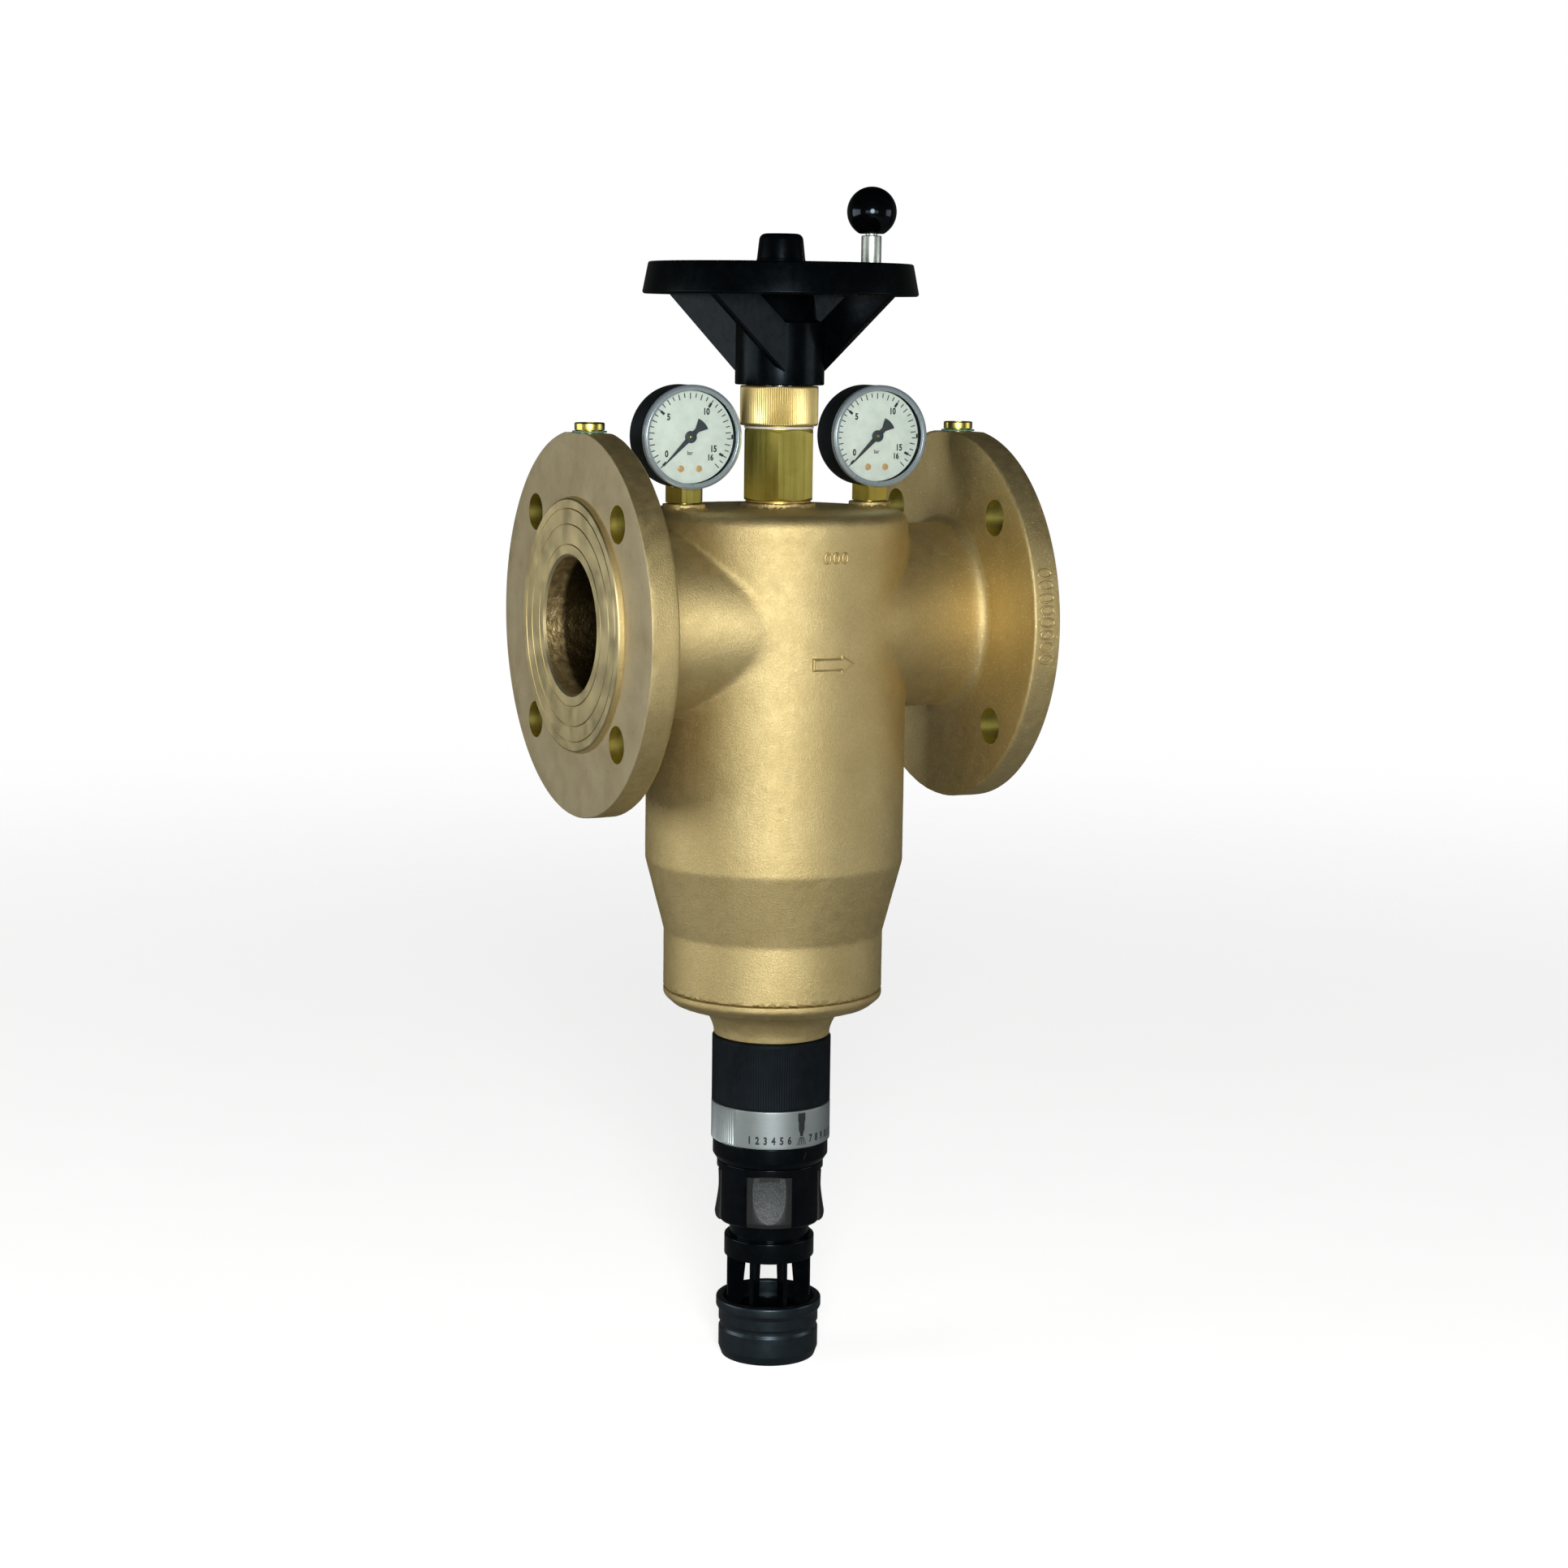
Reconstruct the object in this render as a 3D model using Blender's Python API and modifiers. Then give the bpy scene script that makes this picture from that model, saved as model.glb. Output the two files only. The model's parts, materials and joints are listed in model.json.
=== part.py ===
"""A flanged DN 65 backwash water filter with a cranked handwheel, two pressure gauges and a drain funnel.

The origin is on the spindle axis, in the bottom plane of the drain funnel. +Z is up and +X is the
flow direction. Every height below is measured from the port axis, which lies PORT_HEIGHT above the
origin, because the parts hang from an empty on that axis. Lengths are in metres.

Water enters on the -X side, goes down inside the sieve, outwards through its mesh and leaves on the
+X side. Turning the handwheel raises the spindle. The spindle drags four suction nozzles in a helix
over the inside of the sieve and lifts the flush plug off its seat, so the dirt leaves by the drain.
"""

import math

import bmesh
import bpy
from mathutils import Matrix, Vector

# Overall
PORT_HEIGHT = 0.375
GAP = 0.0003

# Flanges, to DN 65 PN 16
FACE_TO_FACE = 0.220
FLANGE_RADIUS = 0.0925
RAISED_FACE_RADIUS = 0.06075
RAISED_FACE_HEIGHT = 0.003
FLANGE_PLATE = 0.01425
BORE_RADIUS = 0.033
BOLT_CIRCLE_RADIUS = 0.0725
BOLT_HOLE_RADIUS = 0.009
FLANGE_FLAT_HEIGHT = 0.0914
NECK_RADIUS = 0.046
NECK_FILLET = 0.010
NECK_HALF_WIDTH_AT_BODY = 0.061

# Body
BODY_RADIUS = 0.064
BODY_TOP = 0.0545
TOP_ROUNDING = 0.007
TAPER_TOP = -0.119
TAPER_BOTTOM = -0.155
LOWER_RADIUS = 0.0546
BODY_BOTTOM = -0.184
WALL = 0.0064
SHROUD_RADIUS = 0.0425
CHAMBER_RADIUS = 0.038
CHAMBER_BOTTOM = -0.060
BOSS_TOP = 0.0575
STEM_BOSS_RADIUS = 0.0183
GAUGE_BOSS_RADIUS = 0.0104
GAUGE_OFFSET = 0.0505

# Spindle, handwheel and crank
SPINDLE_RADIUS = 0.0079
FLAT_HALF_WIDTH = 0.0063
WHEEL_TOP = 0.173
WHEEL_PLATE = 0.0033
RIM_BOTTOM = 0.1575
RIM_TOP_RADIUS = 0.0643
RIM_BOTTOM_RADIUS = 0.0672
RIM_WALL = 0.0028
HUB_RADIUS = 0.0218
HUB_BOTTOM = 0.1144
HUB_TOP = 0.145
WEB_THICKNESS = 0.0042
WEB_COUNT = 4
WEB_START = math.radians(-113)
WEB_SWEEP = math.radians(-34)
CRANK_RADIUS = 0.055
CRANK_ANGLE = math.radians(10)
BALL_RADIUS = 0.0123
BALL_CENTRE = 0.199

# Bonnet
BONNET_ACROSS_FLATS = 0.0334
BONNET_BOTTOM = 0.0585
BONNET_TOP = 0.093
BONNET_TURN = math.radians(4)
GLAND_RADIUS = 0.0191
GLAND_BOTTOM = 0.0947
GLAND_TOP = 0.1135

# Gauges
GAUGE_RADIUS = 0.025
GAUGE_CENTRE = 0.0896
GAUGE_TURN = math.radians(-4)
GAUGE_CASE_RADIUS = 0.0248
POINTER_TIP = 0.018
POINTER_TAIL = 0.0096

# Sieve and suction nozzles
SIEVE_RADIUS = 0.036
SIEVE_TOP = -0.0604
SIEVE_BOTTOM = -0.147
TUBE_RADIUS = 0.0099
TUBE_BORE = 0.0075
NOZZLE_COUNT = 4
NOZZLE_LOWEST = -0.1415
NOZZLE_SPACING = 0.0195
NOZZLE_REACH = 0.0344

# Flush valve, below the sieve
TURRET_RADIUS = 0.020
TURRET_TOP = -0.152
VALVE_CHAMBER_RADIUS = 0.015
VALVE_CHAMBER_TOP = -0.166
SEAT_TOP = -0.2035
SEAT_BOTTOM = -0.2075
PLUG_TOP = -0.1976
WING_WIDTH = 0.003
WING_REACH = 0.0168

# Drain fittings
SLEEVE_RADIUS = 0.0298
SLEEVE_TOP = -0.2085
SLEEVE_BOTTOM = -0.2421
RING_RADIUS = 0.0299
RING_BOTTOM = -0.2615
COLLAR_RADIUS = 0.029
COLLAR_BOTTOM = -0.2726
SPOUT_RADIUS = 0.0268
SPOUT_TUBE_RADIUS = 0.0233
SPOUT_BORE = 0.016
SPOUT_BOTTOM = -0.304
SPOUT_NOZZLE_RADIUS = 0.0201
SPOUT_NOZZLE_BOTTOM = -0.318
TAB_WIDTH = 0.0224
TAB_TOP = -0.277
TAB_BOTTOM = -0.3026
CAGE_RADIUS = 0.0227
CAGE_TOP = -0.312
CAGE_BOTTOM = -0.358
FIN_COUNT = 8
FIN_THICKNESS = 0.0026
FIN_INNER_RADIUS = 0.0123
FIN_OUTER_RADIUS = 0.0225
FUNNEL_LIP_RADIUS = 0.0266
FUNNEL_RADIUS = 0.0252
FUNNEL_TOP = -0.3445
FUNNEL_BORE = 0.0205
FUNNEL_LEDGE = -0.3584

# How many sides a round shape gets
FINE = 32
ROUND = 22
SMALL = 16
TINY = 10

FINISHES = {
    # name: (colour, roughness, metallic)
    "cast_bronze": ((0.52, 0.36, 0.16), 0.45, 1.0),
    "brass": ((0.72, 0.55, 0.22), 0.28, 1.0),
    "black_gloss": ((0.010, 0.011, 0.013), 0.18, 0.0),
    "charcoal_satin": ((0.035, 0.040, 0.046), 0.42, 0.0),
    "aluminium_satin": ((0.62, 0.64, 0.66), 0.32, 1.0),
    "chrome": ((0.75, 0.76, 0.78), 0.10, 1.0),
    "stainless": ((0.56, 0.56, 0.55), 0.30, 1.0),
    "dial_face": ((0.80, 0.84, 0.80), 0.55, 0.0),
    "pointer_grey": ((0.05, 0.06, 0.07), 0.40, 0.0),
    "clear_lens": ((0.90, 0.95, 0.95), 0.05, 0.0),
    "rubber": ((0.015, 0.015, 0.015), 0.70, 0.0),
    "white_seal": ((0.80, 0.80, 0.78), 0.50, 0.0),
    "green_seal": ((0.10, 0.22, 0.15), 0.60, 0.0),
}


# ---------------------------------------------------------------- scene and materials


def clear_scene():
    for obj in list(bpy.data.objects):
        bpy.data.objects.remove(obj, do_unlink=True)


def new_collection(name):
    collection = bpy.data.collections.new(name)
    bpy.context.scene.collection.children.link(collection)
    return collection


def new_finish(name):
    colour, roughness, metallic = FINISHES[name]
    finish = bpy.data.materials.new(name)
    finish.use_nodes = True
    shader = finish.node_tree.nodes["Principled BSDF"]
    shader.inputs["Base Color"].default_value = (*colour, 1.0)
    shader.inputs["Roughness"].default_value = roughness
    shader.inputs["Metallic"].default_value = metallic
    finish.diffuse_color = (*colour, 1.0)
    return finish


clear_scene()
PARTS = new_collection("backwash_filter")
HELPERS = new_collection("cutters")
MATERIALS = {name: new_finish(name) for name in FINISHES}
PORT_AXIS = bpy.data.objects.new("port_axis", None)
PARTS.objects.link(PORT_AXIS)
PORT_AXIS.location = (0, 0, PORT_HEIGHT)


# ---------------------------------------------------------------- shape tools


def placed(name, mesh, finish, parent=None):
    """Makes the object of a mesh. Without a finish it is a helper, which is never part of the model."""
    obj = bpy.data.objects.new(name, mesh)
    if finish is None:
        HELPERS.objects.link(obj)
        obj.hide_render = True
        obj.display_type = "WIRE"
    else:
        PARTS.objects.link(obj)
        if not mesh.materials:
            mesh.materials.append(MATERIALS[finish])
    obj.parent = parent or PORT_AXIS
    return obj


def turned(name, outline, finish=None, steps=ROUND, loop=True, parent=None):
    """A solid of revolution about its own Z axis, from (radius, height) points down its outer side.

    A loop makes a ring. Otherwise the outline starts and ends on the axis.
    """
    mesh = bpy.data.meshes.new(name)
    edges = [(i, i + 1) for i in range(len(outline) - 1)]
    if loop:
        edges.append((len(outline) - 1, 0))
    mesh.from_pydata([(radius, 0, height) for radius, height in outline], edges, [])
    obj = placed(name, mesh, finish, parent)
    screw = obj.modifiers.new("Turn", "SCREW")
    screw.axis = "Z"
    screw.angle = math.tau
    screw.steps = steps
    screw.render_steps = steps
    screw.use_merge_vertices = True
    screw.merge_threshold = 0.00001
    screw.use_smooth_shade = steps > TINY
    return obj


def add_box(shape, low, high, turn=0.0):
    """A box between two corners, then turned about Z."""
    low, high = Vector(low), Vector(high)
    matrix = Matrix.Translation((low + high) / 2) @ Matrix.Diagonal((*(high - low), 1))
    bmesh.ops.create_cube(shape, size=1, matrix=Matrix.Rotation(turn, 4, "Z") @ matrix)


def add_drum(shape, radius, start, end, steps=SMALL, turn=0.0):
    """A cylinder between the centres of its two ends. The first turn is about its own axis."""
    start, end = Vector(start), Vector(end)
    along = end - start
    aim = along.to_track_quat("Z", "Y").to_matrix().to_4x4()
    matrix = Matrix.Translation((start + end) / 2) @ aim @ Matrix.Rotation(turn, 4, "Z")
    made = bmesh.ops.create_cone(
        shape,
        cap_ends=True,
        segments=steps,
        radius1=radius,
        radius2=radius,
        depth=along.length,
        matrix=matrix,
    )
    return made["verts"]


def shaped(name, fill, finish=None, parent=None):
    """An object whose mesh is made by fill(bmesh)."""
    shape = bmesh.new()
    fill(shape)
    mesh = bpy.data.meshes.new(name)
    shape.to_mesh(mesh)
    shape.free()
    return placed(name, mesh, finish, parent)


def drum(name, radius, start, end, finish=None, steps=SMALL, turn=0.0, parent=None):
    return shaped(name, lambda s: add_drum(s, radius, start, end, steps, turn), finish, parent)


def box(name, low, high, finish=None, turn=0.0, parent=None):
    return shaped(name, lambda s: add_box(s, low, high, turn), finish, parent)


def plate(name, outline, thickness, finish=None, parent=None):
    """A flat plate in its own XY plane, from a closed outline and centred on that plane."""
    curve = bpy.data.curves.new(name, "CURVE")
    curve.dimensions = "2D"
    curve.fill_mode = "BOTH"
    curve.extrude = thickness / 2
    line = curve.splines.new("POLY")
    line.points.add(len(outline) - 1)
    for point, (x, y) in zip(line.points, outline):
        point.co = (x, y, 0, 1)
    line.use_cyclic_u = True
    return meshed(name, curve, finish, parent)


def wire(name, path, radius, finish, parent=None):
    """A round wire along a path."""
    curve = bpy.data.curves.new(name, "CURVE")
    curve.dimensions = "3D"
    curve.bevel_depth = radius
    curve.bevel_resolution = 1
    curve.use_fill_caps = True
    line = curve.splines.new("POLY")
    line.points.add(len(path) - 1)
    for point, place in zip(line.points, path):
        point.co = (*place, 1)
    return meshed(name, curve, finish, parent)


def meshed(name, curve, finish, parent):
    """The mesh object of a curve, with its caps welded to its sides."""
    guide = bpy.data.objects.new(name + "_curve", curve)
    bpy.context.scene.collection.objects.link(guide)
    mesh = baked_mesh(guide)
    bpy.data.objects.remove(guide, do_unlink=True)
    shape = bmesh.new()
    shape.from_mesh(mesh)
    bmesh.ops.remove_doubles(shape, verts=shape.verts, dist=0.00001)
    bmesh.ops.recalc_face_normals(shape, faces=shape.faces)
    shape.to_mesh(mesh)
    shape.free()
    mesh.name = name
    return placed(name, mesh, finish, parent)


def baked_mesh(obj):
    bpy.context.view_layer.update()
    graph = bpy.context.evaluated_depsgraph_get()
    return bpy.data.meshes.new_from_object(obj.evaluated_get(graph))


def boolean(target, operation, tool):
    step = target.modifiers.new(tool.name, "BOOLEAN")
    step.operation = operation
    step.solver = "EXACT"
    step.object = tool
    return target


def cut(target, *tools):
    for tool in tools:
        boolean(target, "DIFFERENCE", tool)


def join(target, *tools):
    for tool in tools:
        boolean(target, "UNION", tool)


def arc(centre, radius, start, end, count):
    """Points on an arc, as (radius, height), with angles in degrees from the outward direction."""
    angles = [math.radians(start + (end - start) * i / count) for i in range(count + 1)]
    return [(centre[0] + radius * math.cos(a), centre[1] + radius * math.sin(a)) for a in angles]


def ring(name, inner, outer, bottom, top, finish, steps=ROUND, parent=None):
    """A plain ring with a square section."""
    outline = [(outer, top), (outer, bottom), (inner, bottom), (inner, top)]
    return turned(name, outline, finish, steps, parent=parent)


# ---------------------------------------------------------------- body and covers


def body_outside():
    top = arc((BODY_RADIUS - TOP_ROUNDING, BODY_TOP - TOP_ROUNDING), TOP_ROUNDING, 90, 0, 4)
    lower = [
        (BODY_RADIUS, TAPER_TOP),
        (LOWER_RADIUS, TAPER_BOTTOM),
        (LOWER_RADIUS, BODY_BOTTOM),
        (0, BODY_BOTTOM),
    ]
    return [(0, BODY_TOP)] + top + lower


def body_cavity():
    inside = BODY_RADIUS - WALL
    lower = LOWER_RADIUS - WALL
    return [
        (0, BODY_TOP - 0.0075),
        (inside - 0.006, BODY_TOP - 0.0075),
        (inside, BODY_TOP - 0.0135),
        (inside, TAPER_TOP),
        (lower, TAPER_BOTTOM),
        (lower, BODY_BOTTOM - 0.005),
        (0, BODY_BOTTOM - 0.005),
    ]


def pipe_run():
    """The two flanges and their necks, turned about the port axis."""
    face = FACE_TO_FACE / 2
    front = face - RAISED_FACE_HEIGHT
    back = front - FLANGE_PLATE
    centre = (NECK_RADIUS + NECK_FILLET, back - NECK_FILLET)
    fillet = arc(centre, NECK_FILLET, 90, 180, 3)
    half = [
        (0, face),
        (RAISED_FACE_RADIUS, face),
        (RAISED_FACE_RADIUS, front),
        (FLANGE_RADIUS, front),
        (FLANGE_RADIUS, back),
    ] + fillet
    other = [(radius, -height) for radius, height in reversed(half)]
    run = turned("pipe_run", half + other, steps=FINE, loop=False)
    run.rotation_euler = (0, math.pi / 2, 0)
    return run


def add_neck_flares(shape):
    """Each neck widens sideways towards the middle of the body, but keeps its height."""
    inner_end = 0.010
    for side in (-1, 1):
        outer = (side * 0.0835, 0, 0)
        for vert in add_drum(shape, NECK_RADIUS + GAP, outer, (side * inner_end, 0, 0), FINE):
            if abs(vert.co.x) < inner_end + GAP:
                vert.co.y *= NECK_HALF_WIDTH_AT_BODY / NECK_RADIUS


def add_bolt_holes(shape):
    face = FACE_TO_FACE / 2
    for side in (-1, 1):
        for quarter in range(4):
            angle = math.radians(45 + 90 * quarter)
            y = BOLT_CIRCLE_RADIUS * math.cos(angle)
            z = BOLT_CIRCLE_RADIUS * math.sin(angle)
            add_drum(shape, BOLT_HOLE_RADIUS, (side * 0.08, y, z), (side * face, y, z), SMALL)


PLUG_OFFSET = FACE_TO_FACE / 2 - RAISED_FACE_HEIGHT - FLANGE_PLATE / 2


def add_drillings(shape):
    """The bonnet's thread, the two gauge connections and the two test-plug threads."""
    above = BOSS_TOP + 0.003
    add_drum(shape, 0.0137, (0, 0, 0.043), (0, 0, above))
    add_drum(shape, 0.0045, (GAUGE_OFFSET, 0, 0.043), (GAUGE_OFFSET, 0, above), TINY)
    add_drum(shape, 0.0045, (-GAUGE_OFFSET, 0, 0.028), (-GAUGE_OFFSET, 0, above), TINY)
    for side in (-1, 1):
        add_drum(shape, 0.0053, (side * PLUG_OFFSET, 0, 0.078), (side * PLUG_OFFSET, 0, 0.094), TINY)


def add_bosses(shape):
    add_drum(shape, STEM_BOSS_RADIUS, (0, 0, 0.050), (0, 0, BOSS_TOP), ROUND)
    for side in (-1, 1):
        foot = (side * GAUGE_OFFSET, 0, 0.0495)
        add_drum(shape, GAUGE_BOSS_RADIUS, foot, (side * GAUGE_OFFSET, 0, BOSS_TOP), SMALL)


def add_flats(shape):
    for side in (-1, 1):
        x = side * PLUG_OFFSET
        add_box(shape, (x - 0.012, -0.03, FLANGE_FLAT_HEIGHT), (x + 0.012, 0.03, 0.1))


def make_body():
    body = turned("body_casting", body_outside(), "cast_bronze", FINE, loop=False)
    join(body, pipe_run(), shaped("neck_flares", add_neck_flares), shaped("bosses", add_bosses))
    outlet = drum("outlet_bore", BORE_RADIUS, (0.045, 0, 0), (0.115, 0, 0), steps=ROUND)
    cut(body, turned("cavity", body_cavity(), steps=ROUND, loop=False), outlet)
    shroud = drum("shroud", SHROUD_RADIUS, (0, 0, CHAMBER_BOTTOM), (0, 0, 0.050), steps=ROUND)
    tunnel = drum("inlet_tunnel", 0.037, (-0.061, 0, 0), (-0.01, 0, 0), steps=ROUND)
    post = drum("gauge_post", 0.0075, (-GAUGE_OFFSET, 0, 0.030), (-GAUGE_OFFSET, 0, 0.049))
    join(body, shroud, tunnel, post)
    chamber = drum("chamber", CHAMBER_RADIUS, (0, 0, CHAMBER_BOTTOM - 0.001), (0, 0, 0.046), steps=ROUND)
    inlet = drum("inlet_bore", BORE_RADIUS, (-0.115, 0, 0), (-0.005, 0, 0), steps=ROUND)
    cut(body, chamber, inlet, shaped("flange_flats", add_flats))
    cut(body, shaped("bolt_holes", add_bolt_holes), shaped("drillings", add_drillings))


def make_test_plugs():
    """A brass plug on a soft seal closes the test connection in the top of each flange."""
    for name, side in (("inlet", -1), ("outlet", 1)):
        seal = ring(f"{name}_plug_seal", 0.0056, 0.0083, 0.0917, 0.0925, "green_seal", TINY)
        outline = [
            (0, 0.0964),
            (0.0066, 0.0964),
            (0.0072, 0.0958),
            (0.0072, 0.0928),
            (0.0050, 0.0928),
            (0.0050, 0.0800),
            (0, 0.0800),
        ]
        plug = turned(f"{name}_test_plug", outline, "brass", TINY, loop=False)
        for piece in (seal, plug):
            piece.location.x = side * PLUG_OFFSET


def cover_outline():
    spigot = LOWER_RADIUS - WALL - 2 * GAP
    neck = arc((0.0470, -0.2090), 0.0180, 135, 176, 4)
    return (
        [
            (TURRET_RADIUS, TURRET_TOP),
            (TURRET_RADIUS, -0.181),
            (0.0440, -0.181),
            (0.0440, -0.172),
            (spigot, -0.172),
            (spigot, -0.1766),
            (spigot - 0.002, -0.1766),
            (spigot - 0.002, -0.1804),
            (spigot, -0.1804),
            (spigot, BODY_BOTTOM - GAP),
            (LOWER_RADIUS, BODY_BOTTOM - GAP),
            (LOWER_RADIUS, -0.1870),
            (LOWER_RADIUS - 0.003, -0.1902),
        ]
        + neck
        + [
            (0.0290, SLEEVE_TOP + 0.0006),
            (0.0260, SLEEVE_TOP + 0.0006),
            (0.0260, -0.2260),
            (0.0120, -0.2260),
            (0.0120, SEAT_BOTTOM - GAP),
            (VALVE_CHAMBER_RADIUS, SEAT_BOTTOM - GAP),
            (VALVE_CHAMBER_RADIUS, VALVE_CHAMBER_TOP),
            (TUBE_RADIUS + 0.0004, VALVE_CHAMBER_TOP),
            (TUBE_RADIUS + 0.0004, TURRET_TOP),
        ]
    )


def add_key_grooves(shape):
    reach = WING_REACH + 0.0004
    half = WING_WIDTH / 2 + 0.0004
    for third in range(3):
        low = (0.013, -half, SEAT_TOP + 0.0008)
        add_box(shape, low, (reach, half, VALVE_CHAMBER_TOP - 0.001), math.tau * third / 3)


def make_cover():
    cover = turned("bottom_cover", cover_outline(), "cast_bronze", ROUND)
    cut(cover, shaped("key_grooves", add_key_grooves))
    spigot = LOWER_RADIUS - WALL - 2 * GAP
    ring("cover_o_ring", spigot - 0.0017, spigot - 0.0001, -0.1801, -0.1769, "rubber", ROUND)
    seat = [
        (0.0147, SEAT_TOP),
        (0.0147, SEAT_BOTTOM),
        (0.0080, SEAT_BOTTOM),
        (0.0080, SEAT_TOP - 0.0005),
        (0.0086, SEAT_TOP),
    ]
    turned("flush_seat", seat, "stainless", SMALL)


# ---------------------------------------------------------------- bonnet and gland


def hexagon(name, across_flats, bottom, top, finish, turn, chamfer, parent=None):
    """A hexagonal prism whose corners are turned off at both ends."""
    corner = across_flats / math.sqrt(3)
    prism = drum(name, corner, (0, 0, bottom), (0, 0, top), finish, 6, turn, parent)
    wide = corner * 1.02
    outline = [
        (0, top + 0.001),
        (wide - 2.6 * chamfer, top + 0.001),
        (wide - 2.2 * chamfer, top),
        (wide, top - chamfer),
        (wide, bottom - 0.001),
        (0, bottom - 0.001),
    ]
    round_off = turned(name + "_chamfer", outline, steps=24, loop=False, parent=parent)
    boolean(prism, "INTERSECT", round_off)
    return prism


def make_bonnet():
    bonnet = hexagon(
        "bonnet", BONNET_ACROSS_FLATS, BONNET_BOTTOM, BONNET_TOP, "brass", BONNET_TURN, 0.0012
    )
    lower = drum("bonnet_thread", 0.0134, (0, 0, 0.040), (0, 0, 0.060))
    upper = drum("gland_thread", 0.0154, (0, 0, 0.092), (0, 0, 0.103))
    join(bonnet, lower, upper)
    cut(bonnet, drum("stem_bore", SPINDLE_RADIUS + 0.0004, (0, 0, 0.039), (0, 0, 0.104)))
    ring("bonnet_gasket", 0.0139, 0.0180, BOSS_TOP + GAP, BONNET_BOTTOM - GAP, "white_seal", SMALL)
    ring("gland_ring", 0.0157, 0.0177, BONNET_TOP + GAP, GLAND_BOTTOM - GAP, "white_seal", SMALL)
    ring("stem_packing", SPINDLE_RADIUS + 0.0004, 0.0152, 0.1033, 0.1081, "rubber", SMALL)
    nut = [
        (GLAND_RADIUS - 0.0009, GLAND_TOP),
        (GLAND_RADIUS, GLAND_TOP - 0.0009),
        (GLAND_RADIUS, GLAND_BOTTOM + 0.0006),
        (GLAND_RADIUS - 0.0006, GLAND_BOTTOM),
        (0.0158, GLAND_BOTTOM),
        (0.0158, 0.1084),
        (SPINDLE_RADIUS + 0.0005, 0.1084),
        (SPINDLE_RADIUS + 0.0005, GLAND_TOP),
    ]
    turned("gland_nut", nut, "brass", ROUND)


# ---------------------------------------------------------------- spindle and handwheel


def add_spindle_cuts(shape):
    """Two flats that drive the wheel, and the hole for its screw."""
    for side in (-1, 1):
        near, far = sorted((side * FLAT_HALF_WIDTH, side * 0.010))
        add_box(shape, (-0.010, near, 0.1240), (0.010, far, 0.161))
    add_drum(shape, 0.0043, (0, 0, 0.146), (0, 0, 0.161), TINY)


def make_spindle():
    outline = [
        (0, 0.1597),
        (SPINDLE_RADIUS, 0.1597),
        (SPINDLE_RADIUS, -0.0557),
        (TUBE_BORE - 0.0004, -0.0557),
        (TUBE_BORE - 0.0004, -0.0720),
        (0, -0.0720),
    ]
    spindle = turned("spindle", outline, "stainless", SMALL, loop=False)
    cut(spindle, shaped("spindle_cuts", add_spindle_cuts))


def wheel_outline():
    under = WHEEL_TOP - WHEEL_PLATE
    rim_inner = RIM_BOTTOM_RADIUS - RIM_WALL
    return [
        (RIM_TOP_RADIUS - 0.001, WHEEL_TOP),
        (RIM_TOP_RADIUS, WHEEL_TOP - 0.001),
        (RIM_BOTTOM_RADIUS, RIM_BOTTOM + 0.0012),
        (RIM_BOTTOM_RADIUS - 0.001, RIM_BOTTOM),
        (rim_inner, RIM_BOTTOM),
        (RIM_TOP_RADIUS - RIM_WALL, under),
        (0.0136, under),
        (0.0186, HUB_TOP),
        (HUB_RADIUS, HUB_TOP),
        (HUB_RADIUS, HUB_BOTTOM),
        (HUB_RADIUS - 0.0022, HUB_BOTTOM),
        (HUB_RADIUS - 0.0022, 0.126),
        (0.0043, 0.126),
        (0.0043, 0.164),
        (0.0095, 0.164),
        (0.0095, WHEEL_TOP),
    ]


def web_outline():
    """One swept web in its own vertical plane, as (distance from the hub end, height)."""
    start = Vector((0.0207, 0))
    end = Vector((0.0640 * math.cos(WEB_SWEEP), 0.0640 * math.sin(WEB_SWEEP)))
    length = (end - start).length
    top = WHEEL_TOP - WHEEL_PLATE / 2
    outline = [
        (0, 0.121),
        (length, RIM_BOTTOM + 0.001),
        (length, top - 0.004),
        (length - 0.003, top),
        (length * 0.72, top),
        (0, HUB_TOP - 0.0005),
    ]
    direction = math.atan2(end.y - start.y, end.x - start.x)
    return outline, start, direction


def make_wheel():
    wheel = turned("handwheel", wheel_outline(), "black_gloss", FINE)
    outline, start, direction = web_outline()
    web = plate("web_blank", outline, WEB_THICKNESS)
    for number in range(WEB_COUNT):
        angle = WEB_START + math.tau * number / WEB_COUNT
        piece = placed(f"web_{number}", web.data, None)
        turn = Matrix.Rotation(angle, 4, "Z")
        stand = Matrix.Rotation(direction, 4, "Z") @ Matrix.Rotation(math.pi / 2, 4, "X")
        piece.matrix_local = turn @ Matrix.Translation((start.x, start.y, 0)) @ stand
        join(wheel, piece)
    bpy.data.objects.remove(web, do_unlink=True)
    bore = drum("wheel_bore", SPINDLE_RADIUS + GAP, (0, 0, 0.125), (0, 0, 0.160))
    flats = shaped("wheel_flats", add_wheel_flats)
    cut(bore, flats)
    place = crank_place()
    pin_hole = drum("pin_hole", 0.0042, (*place, 0.165), (*place, 0.175), steps=TINY)
    cut(wheel, bore, pin_hole)


def add_wheel_flats(shape):
    for side in (-1, 1):
        near, far = sorted((side * (FLAT_HALF_WIDTH + GAP), side * 0.012))
        add_box(shape, (-0.012, near, 0.120), (0.012, far, 0.165))


def crank_place():
    return CRANK_RADIUS * math.cos(CRANK_ANGLE), CRANK_RADIUS * math.sin(CRANK_ANGLE)


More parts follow.
